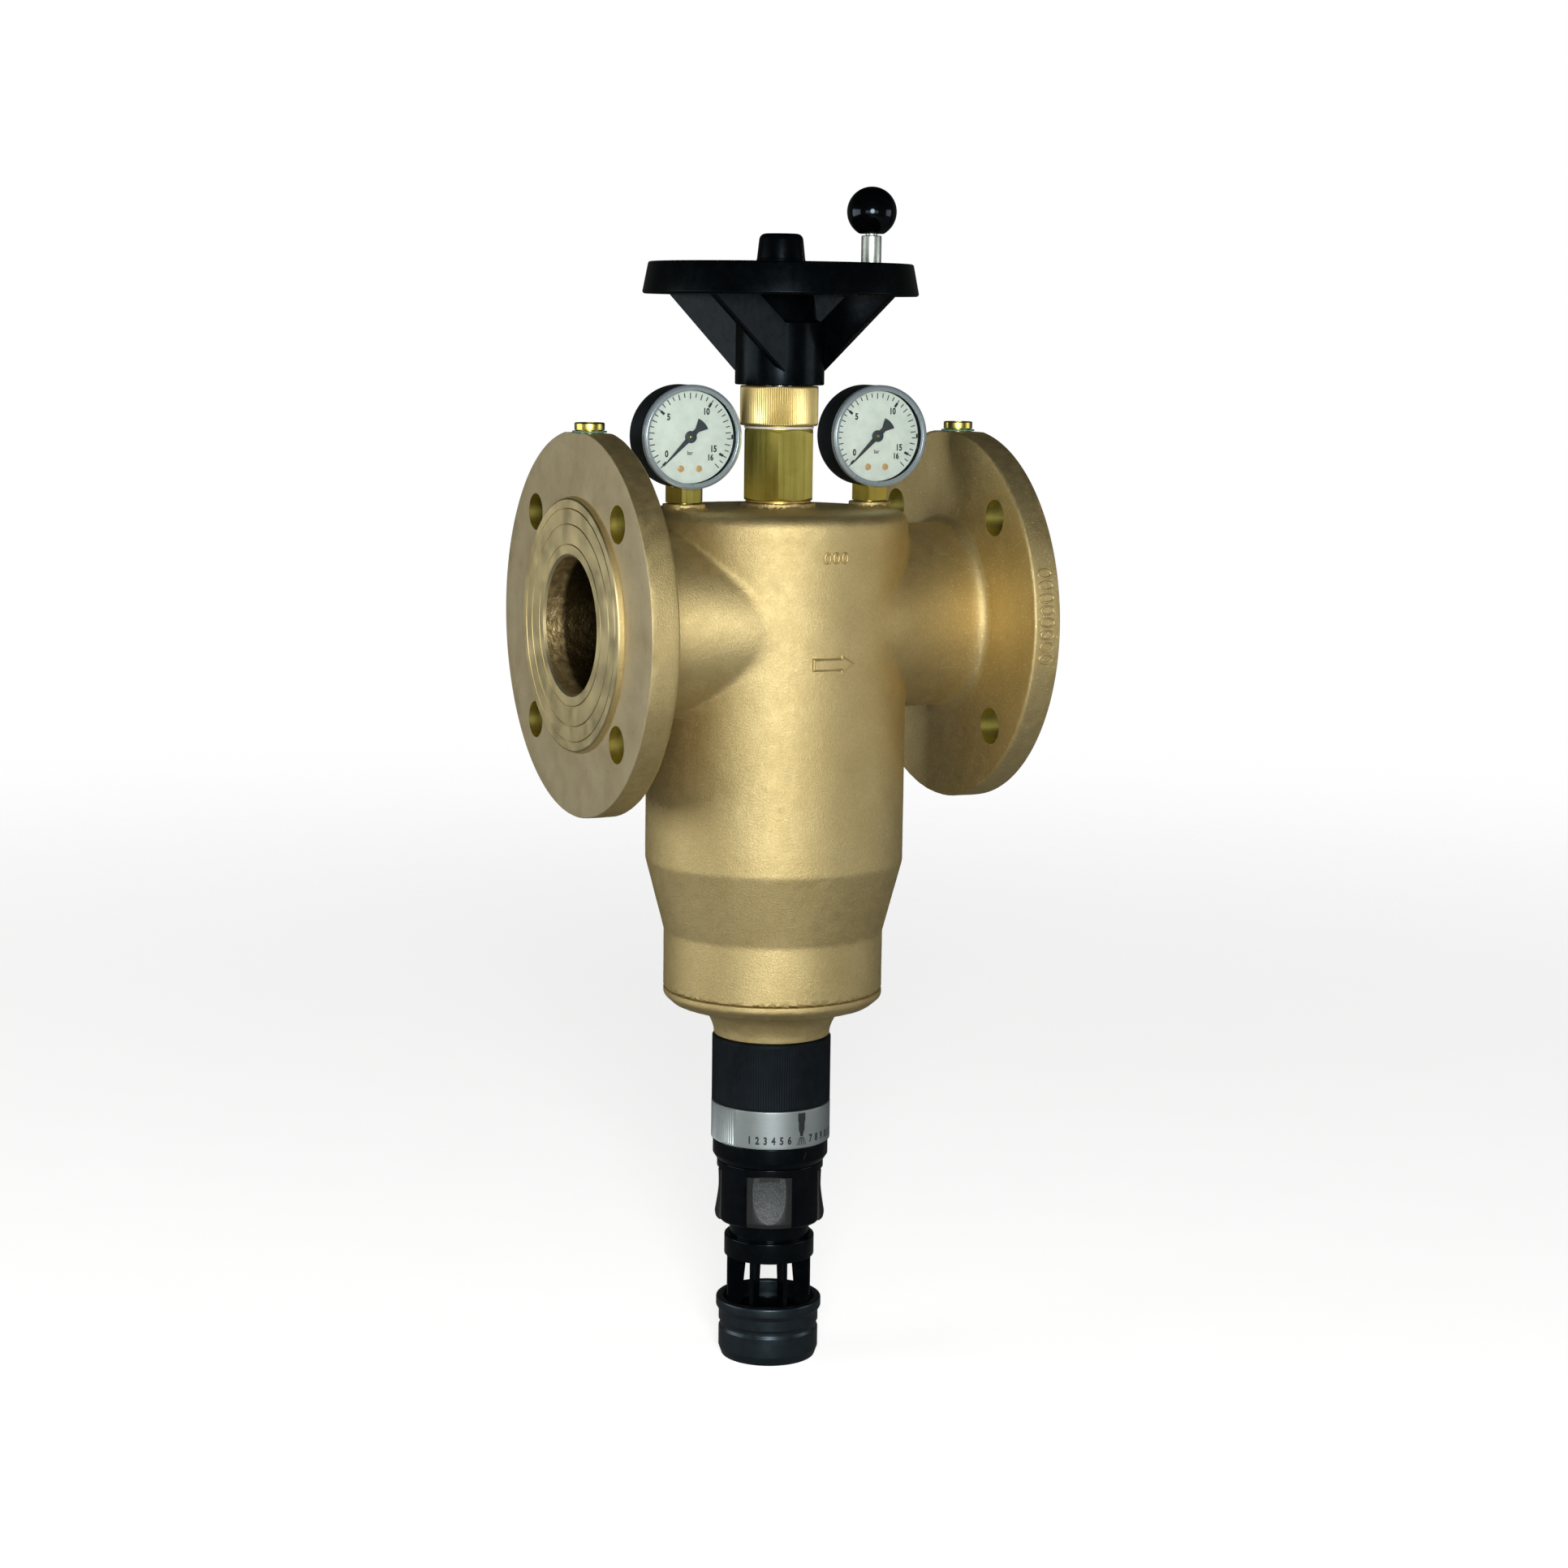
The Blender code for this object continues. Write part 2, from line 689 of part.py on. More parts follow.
def make_wheel_fastening():
    ring("hub_washer", 0.0043, 0.0088, 0.1643, 0.1656, "stainless", SMALL)
    screw = [
        (0, 0.1698),
        (0.0062, 0.1698),
        (0.0062, 0.1659),
        (0.0040, 0.1659),
        (0.0040, 0.1480),
        (0, 0.1480),
    ]
    turned("hub_screw", screw, "stainless", TINY, loop=False)
    dome = arc((0.0074, 0.1838), 0.0032, 90, 15, 3)
    cap = (
        [(0, 0.1870)]
        + dome
        + [
            (0.0119, WHEEL_TOP + 0.0012),
            (0.0121, WHEEL_TOP + GAP),
            (0.0092, WHEEL_TOP + GAP),
            (0.0092, 0.1706),
            (0.0080, 0.1706),
            (0.0080, 0.1780),
            (0, 0.1780),
        ]
    )
    turned("wheel_cap", cap, "black_gloss", SMALL, loop=False)


def make_crank():
    flat = BALL_CENTRE - 0.0107
    pin = [
        (0, 0.2020),
        (0.0029, 0.2020),
        (0.0029, flat - 0.0009),
        (0.0050, flat - 0.0009),
        (0.0050, WHEEL_TOP + GAP),
        (0.0039, WHEEL_TOP + GAP),
        (0.0039, 0.1660),
        (0, 0.1660),
    ]
    flat_angle = math.degrees(math.asin((flat - BALL_CENTRE) / BALL_RADIUS))
    ball = arc((0, BALL_CENTRE), BALL_RADIUS, 90, flat_angle, 7)
    ball[0] = (0, BALL_CENTRE + BALL_RADIUS)
    ball += [(0.0033, flat), (0.0033, 0.2035), (0, 0.2035)]
    pieces = (
        turned("crank_pin", pin, "chrome", TINY, loop=False),
        turned("ball_knob", ball, "black_gloss", SMALL, loop=False),
    )
    for piece in pieces:
        piece.location = (*crank_place(), 0)


# ---------------------------------------------------------------- gauges


def pointer_outline():
    """A needle with a fan tail, pointing along +X."""
    return [
        (POINTER_TIP, 0.0003),
        (0.0030, 0.0008),
        (-0.0046, 0.0008),
        (0.0006 - POINTER_TAIL, 0.0028),
        (-POINTER_TAIL, 0.0010),
        (-POINTER_TAIL, -0.0010),
        (0.0006 - POINTER_TAIL, -0.0028),
        (-0.0046, -0.0008),
        (0.0030, -0.0008),
        (POINTER_TIP, -0.0003),
    ]


def make_gauge(name, offset):
    """The dial faces -Y, turned a little about the gauge's stem. Heights in the outlines run forwards."""
    stem = bpy.data.objects.new(f"{name}_axis", None)
    PARTS.objects.link(stem)
    stem.parent = PORT_AXIS
    stem.location = (offset, 0, GAUGE_CENTRE)
    stem.rotation_euler = (math.pi / 2, 0, GAUGE_TURN)
    case = [
        (0, -0.0097),
        (0.0226, -0.0097),
        (0.0226, 0.0087),
        (GAUGE_CASE_RADIUS, 0.0087),
        (GAUGE_CASE_RADIUS, -0.0097),
        (GAUGE_CASE_RADIUS - 0.0017, -0.0115),
        (0, -0.0115),
    ]
    case = turned(f"{name}_case", case, "black_gloss", ROUND, loop=False, parent=stem)
    cut(case, drum(f"{name}_case_hole", 0.0059, (0, -0.019, 0), (0, -0.027, 0), steps=TINY, parent=stem))
    bezel = [
        (GAUGE_RADIUS - 0.0012, 0.0130),
        (GAUGE_RADIUS, 0.0120),
        (GAUGE_RADIUS, 0.0090),
        (0.0245, 0.0090),
        (0.0245, 0.0112),
        (0.0222, 0.0112),
        (0.0226, 0.0130),
    ]
    turned(f"{name}_bezel", bezel, "chrome", ROUND, parent=stem)
    drum(f"{name}_lens", 0.0241, (0, 0, 0.0099), (0, 0, 0.0108), "clear_lens", ROUND, parent=stem)
    ring(f"{name}_dial", 0.0017, 0.0222, 0.0070, 0.0078, "dial_face", ROUND, parent=stem)
    pointer = plate(f"{name}_pointer", pointer_outline(), 0.0006, "pointer_grey", parent=stem)
    pointer.rotation_euler.z = math.radians(225)
    pointer.location.z = 0.0089
    shaft = drum(f"{name}_shaft", 0.0012, (0, 0, -0.0085), (0, 0, 0.0002), steps=8, parent=pointer)
    hub = drum(f"{name}_hub", 0.0029, (0, 0, -0.0004), (0, 0, 0.0006), steps=12, parent=pointer)
    join(pointer, hub, shaft)
    bend = [math.radians(-78 + 258 * i / 11) for i in range(12)]
    path = [(0.0150 * math.cos(a), 0.0150 * math.sin(a), -0.002) for a in bend]
    wire(f"{name}_bourdon_tube", path, 0.0016, "brass", parent=stem)
    make_gauge_socket(name, offset)


def make_gauge_socket(name, offset):
    seat = bpy.data.objects.new(f"{name}_seat", None)
    PARTS.objects.link(seat)
    seat.parent = PORT_AXIS
    seat.location = (offset, 0, 0)
    bottom = BOSS_TOP + GAP
    socket = hexagon(f"{name}_socket", 0.0170, bottom, 0.0643, "brass", 0, 0.0006, parent=seat)
    neck = drum(f"{name}_neck", 0.0053, (0, 0, 0.063), (0, 0, 0.0700), steps=TINY, parent=seat)
    thread = drum(f"{name}_thread", 0.0041, (0, 0, 0.048), (0, 0, 0.059), steps=TINY, parent=seat)
    join(socket, neck, thread)
    cut(socket, drum(f"{name}_drilling", 0.0015, (0, 0, 0.047), (0, 0, 0.068), steps=8, parent=seat))


# ---------------------------------------------------------------- sieve and suction nozzles


def add_basket_windows(shape):
    for number in range(8):
        low = (0.033, -0.0112, SIEVE_BOTTOM + 0.006)
        add_box(shape, low, (0.042, 0.0112, SIEVE_TOP - 0.008), math.tau * number / 8)


def make_sieve():
    ring("sieve_screen", SIEVE_RADIUS - 0.0007, SIEVE_RADIUS, SIEVE_BOTTOM, SIEVE_TOP, "stainless")
    top_ring = [
        (0.0375, -0.0520),
        (0.0375, -0.0540),
        (0.0362, -0.0540),
        (0.0362, -0.0575),
        (0.0375, -0.0575),
        (0.0375, -0.0601),
        (0.0340, -0.0601),
        (0.0340, -0.0520),
    ]
    turned("sieve_top_ring", top_ring, "charcoal_satin")
    ring("sieve_o_ring", 0.0364, 0.0376, -0.0572, -0.0543, "rubber")
    basket = ring("sieve_basket", 0.0364, 0.0389, SIEVE_BOTTOM, SIEVE_TOP - 0.001, "charcoal_satin")
    cut(basket, shaped("basket_windows", add_basket_windows))
    end = SIEVE_BOTTOM - GAP
    ring("sieve_bottom_ring", TUBE_RADIUS + 0.0005, 0.0389, TURRET_TOP + 0.0004, end, "charcoal_satin")


def add_tube_openings(shape):
    """Two windows above the flush plug, and one hole for each nozzle."""
    add_box(shape, (-0.012, -0.003, -0.190), (0.012, 0.003, -0.182))
    for number in range(NOZZLE_COUNT):
        angle = math.tau * number / NOZZLE_COUNT
        z = NOZZLE_LOWEST + NOZZLE_SPACING * number
        far = (0.012 * math.cos(angle), 0.012 * math.sin(angle), z)
        near = (0.005 * math.cos(angle), 0.005 * math.sin(angle), z)
        add_drum(shape, 0.0024, near, far, 10)


def make_suction_tube():
    outline = [
        (TUBE_RADIUS, -0.0560),
        (TUBE_RADIUS, PLUG_TOP + 0.0004),
        (0.0032, PLUG_TOP + 0.0004),
        (0.0032, PLUG_TOP + 0.0040),
        (TUBE_BORE, PLUG_TOP + 0.0040),
        (TUBE_BORE, -0.0560),
    ]
    tube = turned("suction_tube", outline, "stainless")
    cut(tube, shaped("tube_openings", add_tube_openings))


def make_nozzles():
    blank = drum("nozzle_blank", 0.0034, (TUBE_RADIUS + GAP, 0, 0), (0.031, 0, 0), steps=12)
    mouth = box("nozzle_mouth", (0.0285, -0.0026, -0.004), (NOZZLE_REACH, 0.0026, 0.004))
    bore = drum("nozzle_bore", 0.0020, (0.009, 0, 0), (0.036, 0, 0), steps=10)
    join(blank, mouth)
    cut(blank, bore)
    mesh = baked_mesh(blank)
    bpy.data.objects.remove(blank, do_unlink=True)
    for number in range(NOZZLE_COUNT):
        nozzle = placed(f"suction_nozzle_{number + 1}", mesh, "black_gloss")
        nozzle.rotation_euler.z = math.tau * number / NOZZLE_COUNT
        nozzle.location.z = NOZZLE_LOWEST + NOZZLE_SPACING * number


def add_wings(shape):
    for third in range(3):
        low = (0.009, -WING_WIDTH / 2, PLUG_TOP - 0.0030)
        add_box(shape, low, (WING_REACH, WING_WIDTH / 2, PLUG_TOP - 0.0004), math.tau * third / 3)


def make_flush_plug():
    """The plug hangs from the tube on a swivel head, and three wings in grooves keep it from turning."""
    outline = [
        (0, PLUG_TOP + 0.0068),
        (0.0045, PLUG_TOP + 0.0068),
        (0.0045, PLUG_TOP + 0.0044),
        (0.0028, PLUG_TOP + 0.0044),
        (0.0028, PLUG_TOP),
        (0.0114, PLUG_TOP),
        (0.0114, PLUG_TOP - 0.0034),
        (0.0066, PLUG_TOP - 0.0034),
        (0.0066, PLUG_TOP - 0.0075),
        (0, PLUG_TOP - 0.0075),
    ]
    plug = turned("flush_plug", outline, "brass", SMALL, loop=False)
    join(plug, shaped("plug_wings", add_wings))
    seal_top = PLUG_TOP - 0.0034 - GAP
    ring("flush_plug_seal", 0.0070, 0.0113, SEAT_TOP + GAP, seal_top, "rubber", SMALL)


# ---------------------------------------------------------------- drain


def make_sleeve_and_ring():
    sleeve = [
        (SLEEVE_RADIUS - 0.0010, SLEEVE_TOP),
        (SLEEVE_RADIUS, SLEEVE_TOP - 0.0010),
        (SLEEVE_RADIUS, SLEEVE_BOTTOM),
        (0.0237, SLEEVE_BOTTOM),
        (0.0237, -0.2323),
        (0.0265, -0.2323),
        (0.0265, SLEEVE_TOP),
    ]
    turned("union_sleeve", sleeve, "charcoal_satin")
    ring("sleeve_gasket", 0.0162, 0.0258, -0.2288, -0.2263, "rubber", SMALL)
    ring_top = SLEEVE_BOTTOM - GAP
    ring("month_ring", 0.0240, RING_RADIUS, RING_BOTTOM, ring_top, "aluminium_satin")
    collar = [
        (COLLAR_RADIUS, RING_BOTTOM - GAP),
        (COLLAR_RADIUS, -0.2695),
        (0.0270, COLLAR_BOTTOM),
        (SPOUT_TUBE_RADIUS + GAP, COLLAR_BOTTOM),
        (SPOUT_TUBE_RADIUS + GAP, RING_BOTTOM - GAP),
    ]
    turned("drain_collar", collar, "black_gloss")


def add_tab_pockets(shape):
    half = TAB_WIDTH / 2 + 0.0004
    for quarter in range(4):
        low = (0.0212, -half, TAB_BOTTOM - 0.003)
        high = (0.0300, half, TAB_TOP + 0.0005)
        add_box(shape, low, high, tab_angle(quarter))


def tab_angle(quarter):
    return math.radians(-116) + math.tau * quarter / 4


def make_spout():
    outline = [
        (0.0260, -0.2291),
        (0.0260, -0.2320),
        (SPOUT_TUBE_RADIUS, -0.2320),
        (SPOUT_TUBE_RADIUS, COLLAR_BOTTOM - GAP),
        (SPOUT_RADIUS, COLLAR_BOTTOM - GAP),
        (SPOUT_RADIUS, SPOUT_BOTTOM + 0.0014),
        (SPOUT_RADIUS - 0.0014, SPOUT_BOTTOM),
        (SPOUT_NOZZLE_RADIUS, SPOUT_BOTTOM),
        (SPOUT_NOZZLE_RADIUS, SPOUT_NOZZLE_BOTTOM),
        (SPOUT_BORE, SPOUT_NOZZLE_BOTTOM),
        (SPOUT_BORE, -0.2291),
    ]
    spout = turned("drain_spout", outline, "black_gloss")
    cut(spout, shaped("tab_pockets", add_tab_pockets))


def make_tabs():
    """Four sprung release tabs around the spout. Each one's origin is on its hinge line, at its foot."""
    pivot = Vector((0.0250, 0, TAB_BOTTOM + 0.0008))
    half = TAB_WIDTH / 2
    blank = box("tab_blank", (0.0238, -half, TAB_BOTTOM), (0.0290, half, TAB_TOP))
    flare = [
        (0, TAB_TOP + 0.001),
        (0.0270, TAB_TOP + 0.001),
        (0.0271, -0.290),
        (0.0277, -0.300),
        (0.0273, TAB_BOTTOM - 0.001),
        (0, TAB_BOTTOM - 0.001),
    ]
    boolean(blank, "INTERSECT", turned("tab_flare", flare, steps=FINE, loop=False))
    mesh = baked_mesh(blank)
    bpy.data.objects.remove(blank, do_unlink=True)
    mesh.transform(Matrix.Translation(-pivot))
    for quarter, side in enumerate(("front", "right", "back", "left")):
        tab = placed(f"release_tab_{side}", mesh, "black_gloss")
        tab.rotation_euler.z = tab_angle(quarter)
        tab.location = Matrix.Rotation(tab_angle(quarter), 3, "Z") @ pivot


def add_fins(shape):
    for number in range(FIN_COUNT):
        low = (FIN_INNER_RADIUS, -FIN_THICKNESS / 2, CAGE_BOTTOM + 0.004)
        high = (FIN_OUTER_RADIUS, FIN_THICKNESS / 2, CAGE_TOP - 0.010)
        add_box(shape, low, high, cage_angle(number))


def cage_angle(number):
    return math.radians(-116) + math.tau * (number + 0.5) / FIN_COUNT


def make_cage_and_funnel():
    cage = [
        (CAGE_RADIUS - 0.0008, CAGE_TOP),
        (CAGE_RADIUS, CAGE_TOP - 0.0008),
        (CAGE_RADIUS, -0.3226),
        (SPOUT_NOZZLE_RADIUS + GAP, -0.3226),
        (SPOUT_NOZZLE_RADIUS + GAP, CAGE_TOP),
    ]
    cage = turned("drain_cage", cage, "black_gloss")
    foot = ring("cage_foot", 0.0198, 0.0226, CAGE_BOTTOM, -0.3525, None)
    join(cage, shaped("cage_fins", add_fins), foot)
    funnel = [
        (FUNNEL_LIP_RADIUS - 0.0008, FUNNEL_TOP),
        (FUNNEL_LIP_RADIUS, FUNNEL_TOP - 0.0010),
        (FUNNEL_LIP_RADIUS, -0.3495),
        (FUNNEL_RADIUS, -0.3515),
        (FUNNEL_RADIUS, -0.3570),
        (FUNNEL_RADIUS - 0.0007, -0.3576),
        (FUNNEL_RADIUS - 0.0007, -0.3588),
        (FUNNEL_RADIUS, -0.3594),
        (FUNNEL_RADIUS, -0.3705),
        (0.0236, -PORT_HEIGHT),
        (FUNNEL_BORE, -PORT_HEIGHT),
        (FUNNEL_BORE, FUNNEL_LEDGE),
        (0.0230, FUNNEL_LEDGE),
        (0.0230, FUNNEL_TOP - 0.0008),
        (0.0236, FUNNEL_TOP),
    ]
    turned("drain_funnel", funnel, "black_gloss")


make_body()
make_test_plugs()
make_cover()
make_bonnet()
make_spindle()
make_wheel()
make_wheel_fastening()
make_crank()
make_gauge("inlet_gauge", -GAUGE_OFFSET)
make_gauge("outlet_gauge", GAUGE_OFFSET)
make_sieve()
make_suction_tube()
make_nozzles()
make_flush_plug()
make_sleeve_and_ring()
make_spout()
make_tabs()
make_cage_and_funnel()
bpy.context.view_layer.update()
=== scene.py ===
"""The looks of a flanged backwash water filter in cast bronze, brass and black plastic.

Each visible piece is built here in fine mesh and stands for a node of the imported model. Outlines are
in millimetres, and their heights are measured from the port axis, which the handwheel's joint gives.
The water flows along +X, the handwheel is on top, and the dials face -Y.
"""

import json
import math

import bmesh
import bpy
import numpy as np
from mathutils import Matrix, Vector, noise


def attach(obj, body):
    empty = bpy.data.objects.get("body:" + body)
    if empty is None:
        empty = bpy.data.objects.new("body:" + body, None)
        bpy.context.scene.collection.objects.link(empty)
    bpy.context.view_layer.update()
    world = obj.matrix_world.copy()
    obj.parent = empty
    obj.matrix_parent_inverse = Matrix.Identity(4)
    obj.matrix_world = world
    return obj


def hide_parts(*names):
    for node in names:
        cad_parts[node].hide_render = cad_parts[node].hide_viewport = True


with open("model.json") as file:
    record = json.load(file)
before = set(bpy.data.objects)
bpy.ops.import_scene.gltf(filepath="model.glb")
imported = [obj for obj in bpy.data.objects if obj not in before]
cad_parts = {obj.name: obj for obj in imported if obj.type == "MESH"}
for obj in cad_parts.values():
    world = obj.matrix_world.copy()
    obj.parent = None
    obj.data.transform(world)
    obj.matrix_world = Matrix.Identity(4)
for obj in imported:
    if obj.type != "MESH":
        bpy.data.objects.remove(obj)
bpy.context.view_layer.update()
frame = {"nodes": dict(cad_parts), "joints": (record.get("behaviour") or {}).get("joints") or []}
JOINTS = {joint["name"]: joint for joint in frame["joints"]}
PORT = Vector(JOINTS["handwheel_turn"]["pos_m"])
MM = 0.001
TO_WORLD = Matrix.Translation(PORT) @ Matrix.Scale(MM, 4)

# Driving sizes, in millimetres
FLANGE_FRONT = 107.0
FLANGE_BACK = 92.75
FLANGE_RADIUS = 92.5
FLANGE_FACE = 110.0
FLANGE_FLAT = 91.4
RAISED_RADIUS = 60.75
GROOVE_RADII = (56.0, 48.5, 38.9)
BORE_RADIUS = 33.0
BOLT_CIRCLE = 72.5
BOLT_HOLE = 9.0
FLANGE_MIDDLE = (FLANGE_FRONT + FLANGE_BACK) / 2
NECK_RADIUS = 46.0
NECK_WIDTHS = ((10.0, 85.0), (61.0, 46.0))
BODY_RADIUS = 64.0
LOWER_RADIUS = 54.6
BODY_BOTTOM = -184.0
WALL = 6.4
DISC_RADIUS = 66.0
POST_RADIUS = 10.4
BOSS_RADIUS = 18.3
BOSS_TOP = 57.25
GAUGE_OFFSET = 50.5
TAB_START = math.radians(-116)
WEB_START = math.radians(-113)
WEB_SWEEP = math.radians(-34)
CRANK_ANGLE = math.radians(10)
CRANK_RADIUS = 55.0
SLEEVE_RADIUS = 29.8
RING_RADIUS = 29.9
COLLAR_RADIUS = 29.0
PRINT_THICKNESS = 0.1

# Where things stand on the front, in degrees about the upright axis from +X, and their heights
FRONT = -115.85
ARROW_ANGLE, ARROW_HEIGHT = -90.3, -16.2
CAST_RINGS_ANGLE, CAST_RINGS_STEP, CAST_RINGS_HEIGHT = -94.0, 4.1, 34.4
FIRST_MONTHS_ANGLE, LAST_MONTHS_ANGLE, MONTH_STEP = -136.1, -73.8, 7.8
PICTOGRAM_ANGLE = -84.4

# The floor, in metres: its size, and where it starts and ends to fade. Then how bright it looks by itself
FLOOR_RADIUS = 6.0
FLOOR_FADE = (0.5, 2.4)
FLOOR_GLOW = 0.74

# The room's light: the steepness where it starts and ends to change, and its strength at both
ROOM_GLOW = (0.05, 0.60, 0.07, 0.006)

# How finely things are meshed
ROUND = 128
SMALL = 64
CORNER_STEPS = 5
LONGEST_EDGE = 3.5
STRIP_WIDTH = 0.8
CAST_VOXEL = 1.3
SLOPE_STEP = 0.05


# ---------------------------------------------------------------- mesh tools


def new_object(name, mesh):
    obj = bpy.data.objects.new(name, mesh)
    bpy.context.scene.collection.objects.link(obj)
    return obj


def shade(mesh, angle=32):
    mesh.shade_smooth()
    mesh.set_sharp_from_angle(angle=math.radians(angle))


def vectors_of(items, field):
    values = np.empty(len(items) * 3, np.float32)
    items.foreach_get(field, values)
    return values.reshape(-1, 3).astype(float)


def points_of(mesh):
    """The mesh's points, in millimetres from the port axis."""
    return (vectors_of(mesh.vertices, "co") - np.array(PORT)) / MM


def move_points(mesh, points):
    values = (points * MM + np.array(PORT)).astype(np.float32)
    mesh.vertices.foreach_set("co", values.ravel())
    mesh.update()


def raise_points(mesh, points, heights):
    """Moves the mesh's points, given in millimetres, out along its normals."""
    normals = vectors_of(mesh.vertex_normals, "vector")
    move_points(mesh, points + normals * heights[:, None])


def mesh_of(name, shape):
    mesh = bpy.data.meshes.new(name)
    shape.to_mesh(mesh)
    shape.free()
    return mesh


def evaluated(obj, *helpers):
    """The mesh that an object's modifiers or curve give. The objects themselves are removed."""
    bpy.context.view_layer.update()
    graph = bpy.context.evaluated_depsgraph_get()
    made = bpy.data.meshes.new_from_object(obj.evaluated_get(graph))
    for used in (obj, *helpers):
        bpy.data.objects.remove(used)
    return made


def rounded(outline, loop=True):
    """(radius, height) points of an outline. A third number in a corner is its rounding."""
    points = []
    for number, corner in enumerate(outline):
        here = Vector(corner[:2])
        at_end = not loop and number in (0, len(outline) - 1)
        if len(corner) < 3 or at_end:
            points.append(here)
            continue
        before = Vector(outline[number - 1][:2]) - here
        after = Vector(outline[(number + 1) % len(outline)][:2]) - here
        half = before.angle(after) / 2
        reach = min(corner[2] / math.tan(half), before.length * 0.49, after.length * 0.49)
        radius = reach * math.tan(half)
        middle = (before.normalized() + after.normalized()).normalized()
        centre = here + middle * radius / math.sin(half)
        start = here + before.normalized() * reach - centre
        end = here + after.normalized() * reach - centre
        sweep = [start.slerp(end, i / CORNER_STEPS).normalized() for i in range(CORNER_STEPS + 1)]
        points += [centre + direction * radius for direction in sweep]
    return [tuple(point) for point in points]


def arc(centre, radius, start, end, count):
    """Points on an arc, as (radius, height), with angles in degrees from the outward direction."""
    angles = [math.radians(start + (end - start) * i / count) for i in range(count + 1)]
    return [(centre[0] + radius * math.cos(a), centre[1] + radius * math.sin(a)) for a in angles]


def turned_mesh(name, outline, steps=ROUND, loop=True, place=None, widen=None):
    """A solid of revolution about Z from an outline that runs down its outer side.

    widen(angle, radius, height) may change the radius of each point, for ribs and hexagons.
    """
    profile = rounded(outline, loop)
    shape = bmesh.new()
    rings = []
    for radius, height in profile:
        if radius < 1e-6:
            rings.append([shape.verts.new((0, 0, height))] * steps)
            continue
        ring = []
        for step in range(steps):
            angle = math.tau * step / steps
            reach = widen(angle, radius, height) if widen else radius
            ring.append(shape.verts.new((reach * math.cos(angle), reach * math.sin(angle), height)))
        rings.append(ring)
    pairs = list(zip(rings, rings[1:]))
    if loop:
        pairs.append((rings[-1], rings[0]))
    for upper, lower in pairs:
        for step in range(steps):
            after = (step + 1) % steps
            corners = [upper[step], lower[step], lower[after], upper[after]]
            corners = list(dict.fromkeys(corners))
            if len(corners) > 2:
                shape.faces.new(corners)
    return finished(name, shape, place)


def finished(name, shape, place=None):
    """The mesh of a shape drawn in millimetres, moved to its place."""
    mesh = mesh_of(name, shape)
    mesh.transform(TO_WORLD @ (place or Matrix.Identity(4)))
    shade(mesh)
    return mesh


def add_box(shape, low, high, turn=0.0, bevel=0.0):
    low, high = Vector(low), Vector(high)
    size = Matrix.Diagonal((*(high - low), 1))
    matrix = Matrix.Rotation(turn, 4, "Z") @ Matrix.Translation((low + high) / 2) @ size
    made = bmesh.ops.create_cube(shape, size=1, matrix=matrix)
    if bevel:
        edges = list(dict.fromkeys(edge for vert in made["verts"] for edge in vert.link_edges))
        bmesh.ops.bevel(shape, geom=edges, offset=bevel, segments=2, affect="EDGES")


def add_drum(shape, radius, start, end, steps=SMALL):
    start, end = Vector(start), Vector(end)
    along = end - start
    aim = along.to_track_quat("Z", "Y").to_matrix().to_4x4()
    made = bmesh.ops.create_cone(
        shape,
        cap_ends=True,
        segments=steps,
        radius1=radius,
        radius2=radius,
        depth=along.length,
        matrix=Matrix.Translation((start + end) / 2) @ aim,
    )
    return made["verts"]


def shaped(name, fill, place=None):
    shape = bmesh.new()
    fill(shape)
    return finished(name, shape, place)


def box_mesh(low, high, place, bevel=0.0):
    return shaped("box", lambda shape: add_box(shape, low, high, 0.0, bevel), place)


def drum_mesh(radius, start, end, steps=SMALL, place=None):
    return shaped("drum", lambda shape: add_drum(shape, radius, start, end, steps), place)


def add_slab(shape, outline, thickness, bevel=0.0):
    """A flat plate centred on its own XY plane, from a closed outline that runs anticlockwise."""
    low = [shape.verts.new((x, y, -thickness / 2)) for x, y in outline]
    high = [shape.verts.new((x, y, thickness / 2)) for x, y in outline]
    shape.faces.new(list(reversed(low)))
    shape.faces.new(high)
    for i in range(len(outline)):
        j = (i + 1) % len(outline)
        shape.faces.new([low[i], low[j], high[j], high[i]])
    if bevel:
        bmesh.ops.bevel(shape, geom=shape.edges[:], offset=bevel, segments=3, affect="EDGES")


def slab_mesh(name, outline, thickness, bevel=0.0, place=None):
    return shaped(name, lambda shape: add_slab(shape, outline, thickness, bevel), place)


def flat_slab(name, outline, thickness, bevel=0.0):
    """The same plate left in its own plane, in millimetres."""
    shape = bmesh.new()
    add_slab(shape, outline, thickness, bevel)
    return mesh_of(name, shape)


def joined_mesh(name, meshes):
    """Several meshes as one, left as separate shells."""
    shape = bmesh.new()
    for mesh in meshes:
        shape.from_mesh(mesh)
    return mesh_of(name, shape)


def combine(mesh, operation, *tools):
    """The mesh after a Boolean with each tool. Faces that a tool leaves keep the tool's material."""
    target = new_object(mesh.name + "_target", mesh)
    helpers = [new_object(tool.name + "_tool", tool) for tool in tools]
    for helper in helpers:
        step = target.modifiers.new(helper.name, "BOOLEAN")
        step.operation = operation
        step.solver = "MANIFOLD"
        step.object = helper
        step.material_mode = "TRANSFER"
    made = evaluated(target, *helpers)
    if not made.polygons:
        raise ValueError(f"nothing is left of {mesh.name}")
    made.name = mesh.name
    shade(made)
    return made


def with_finish(mesh, finish):
    mesh.materials.clear()
    mesh.materials.append(finish)
    return mesh


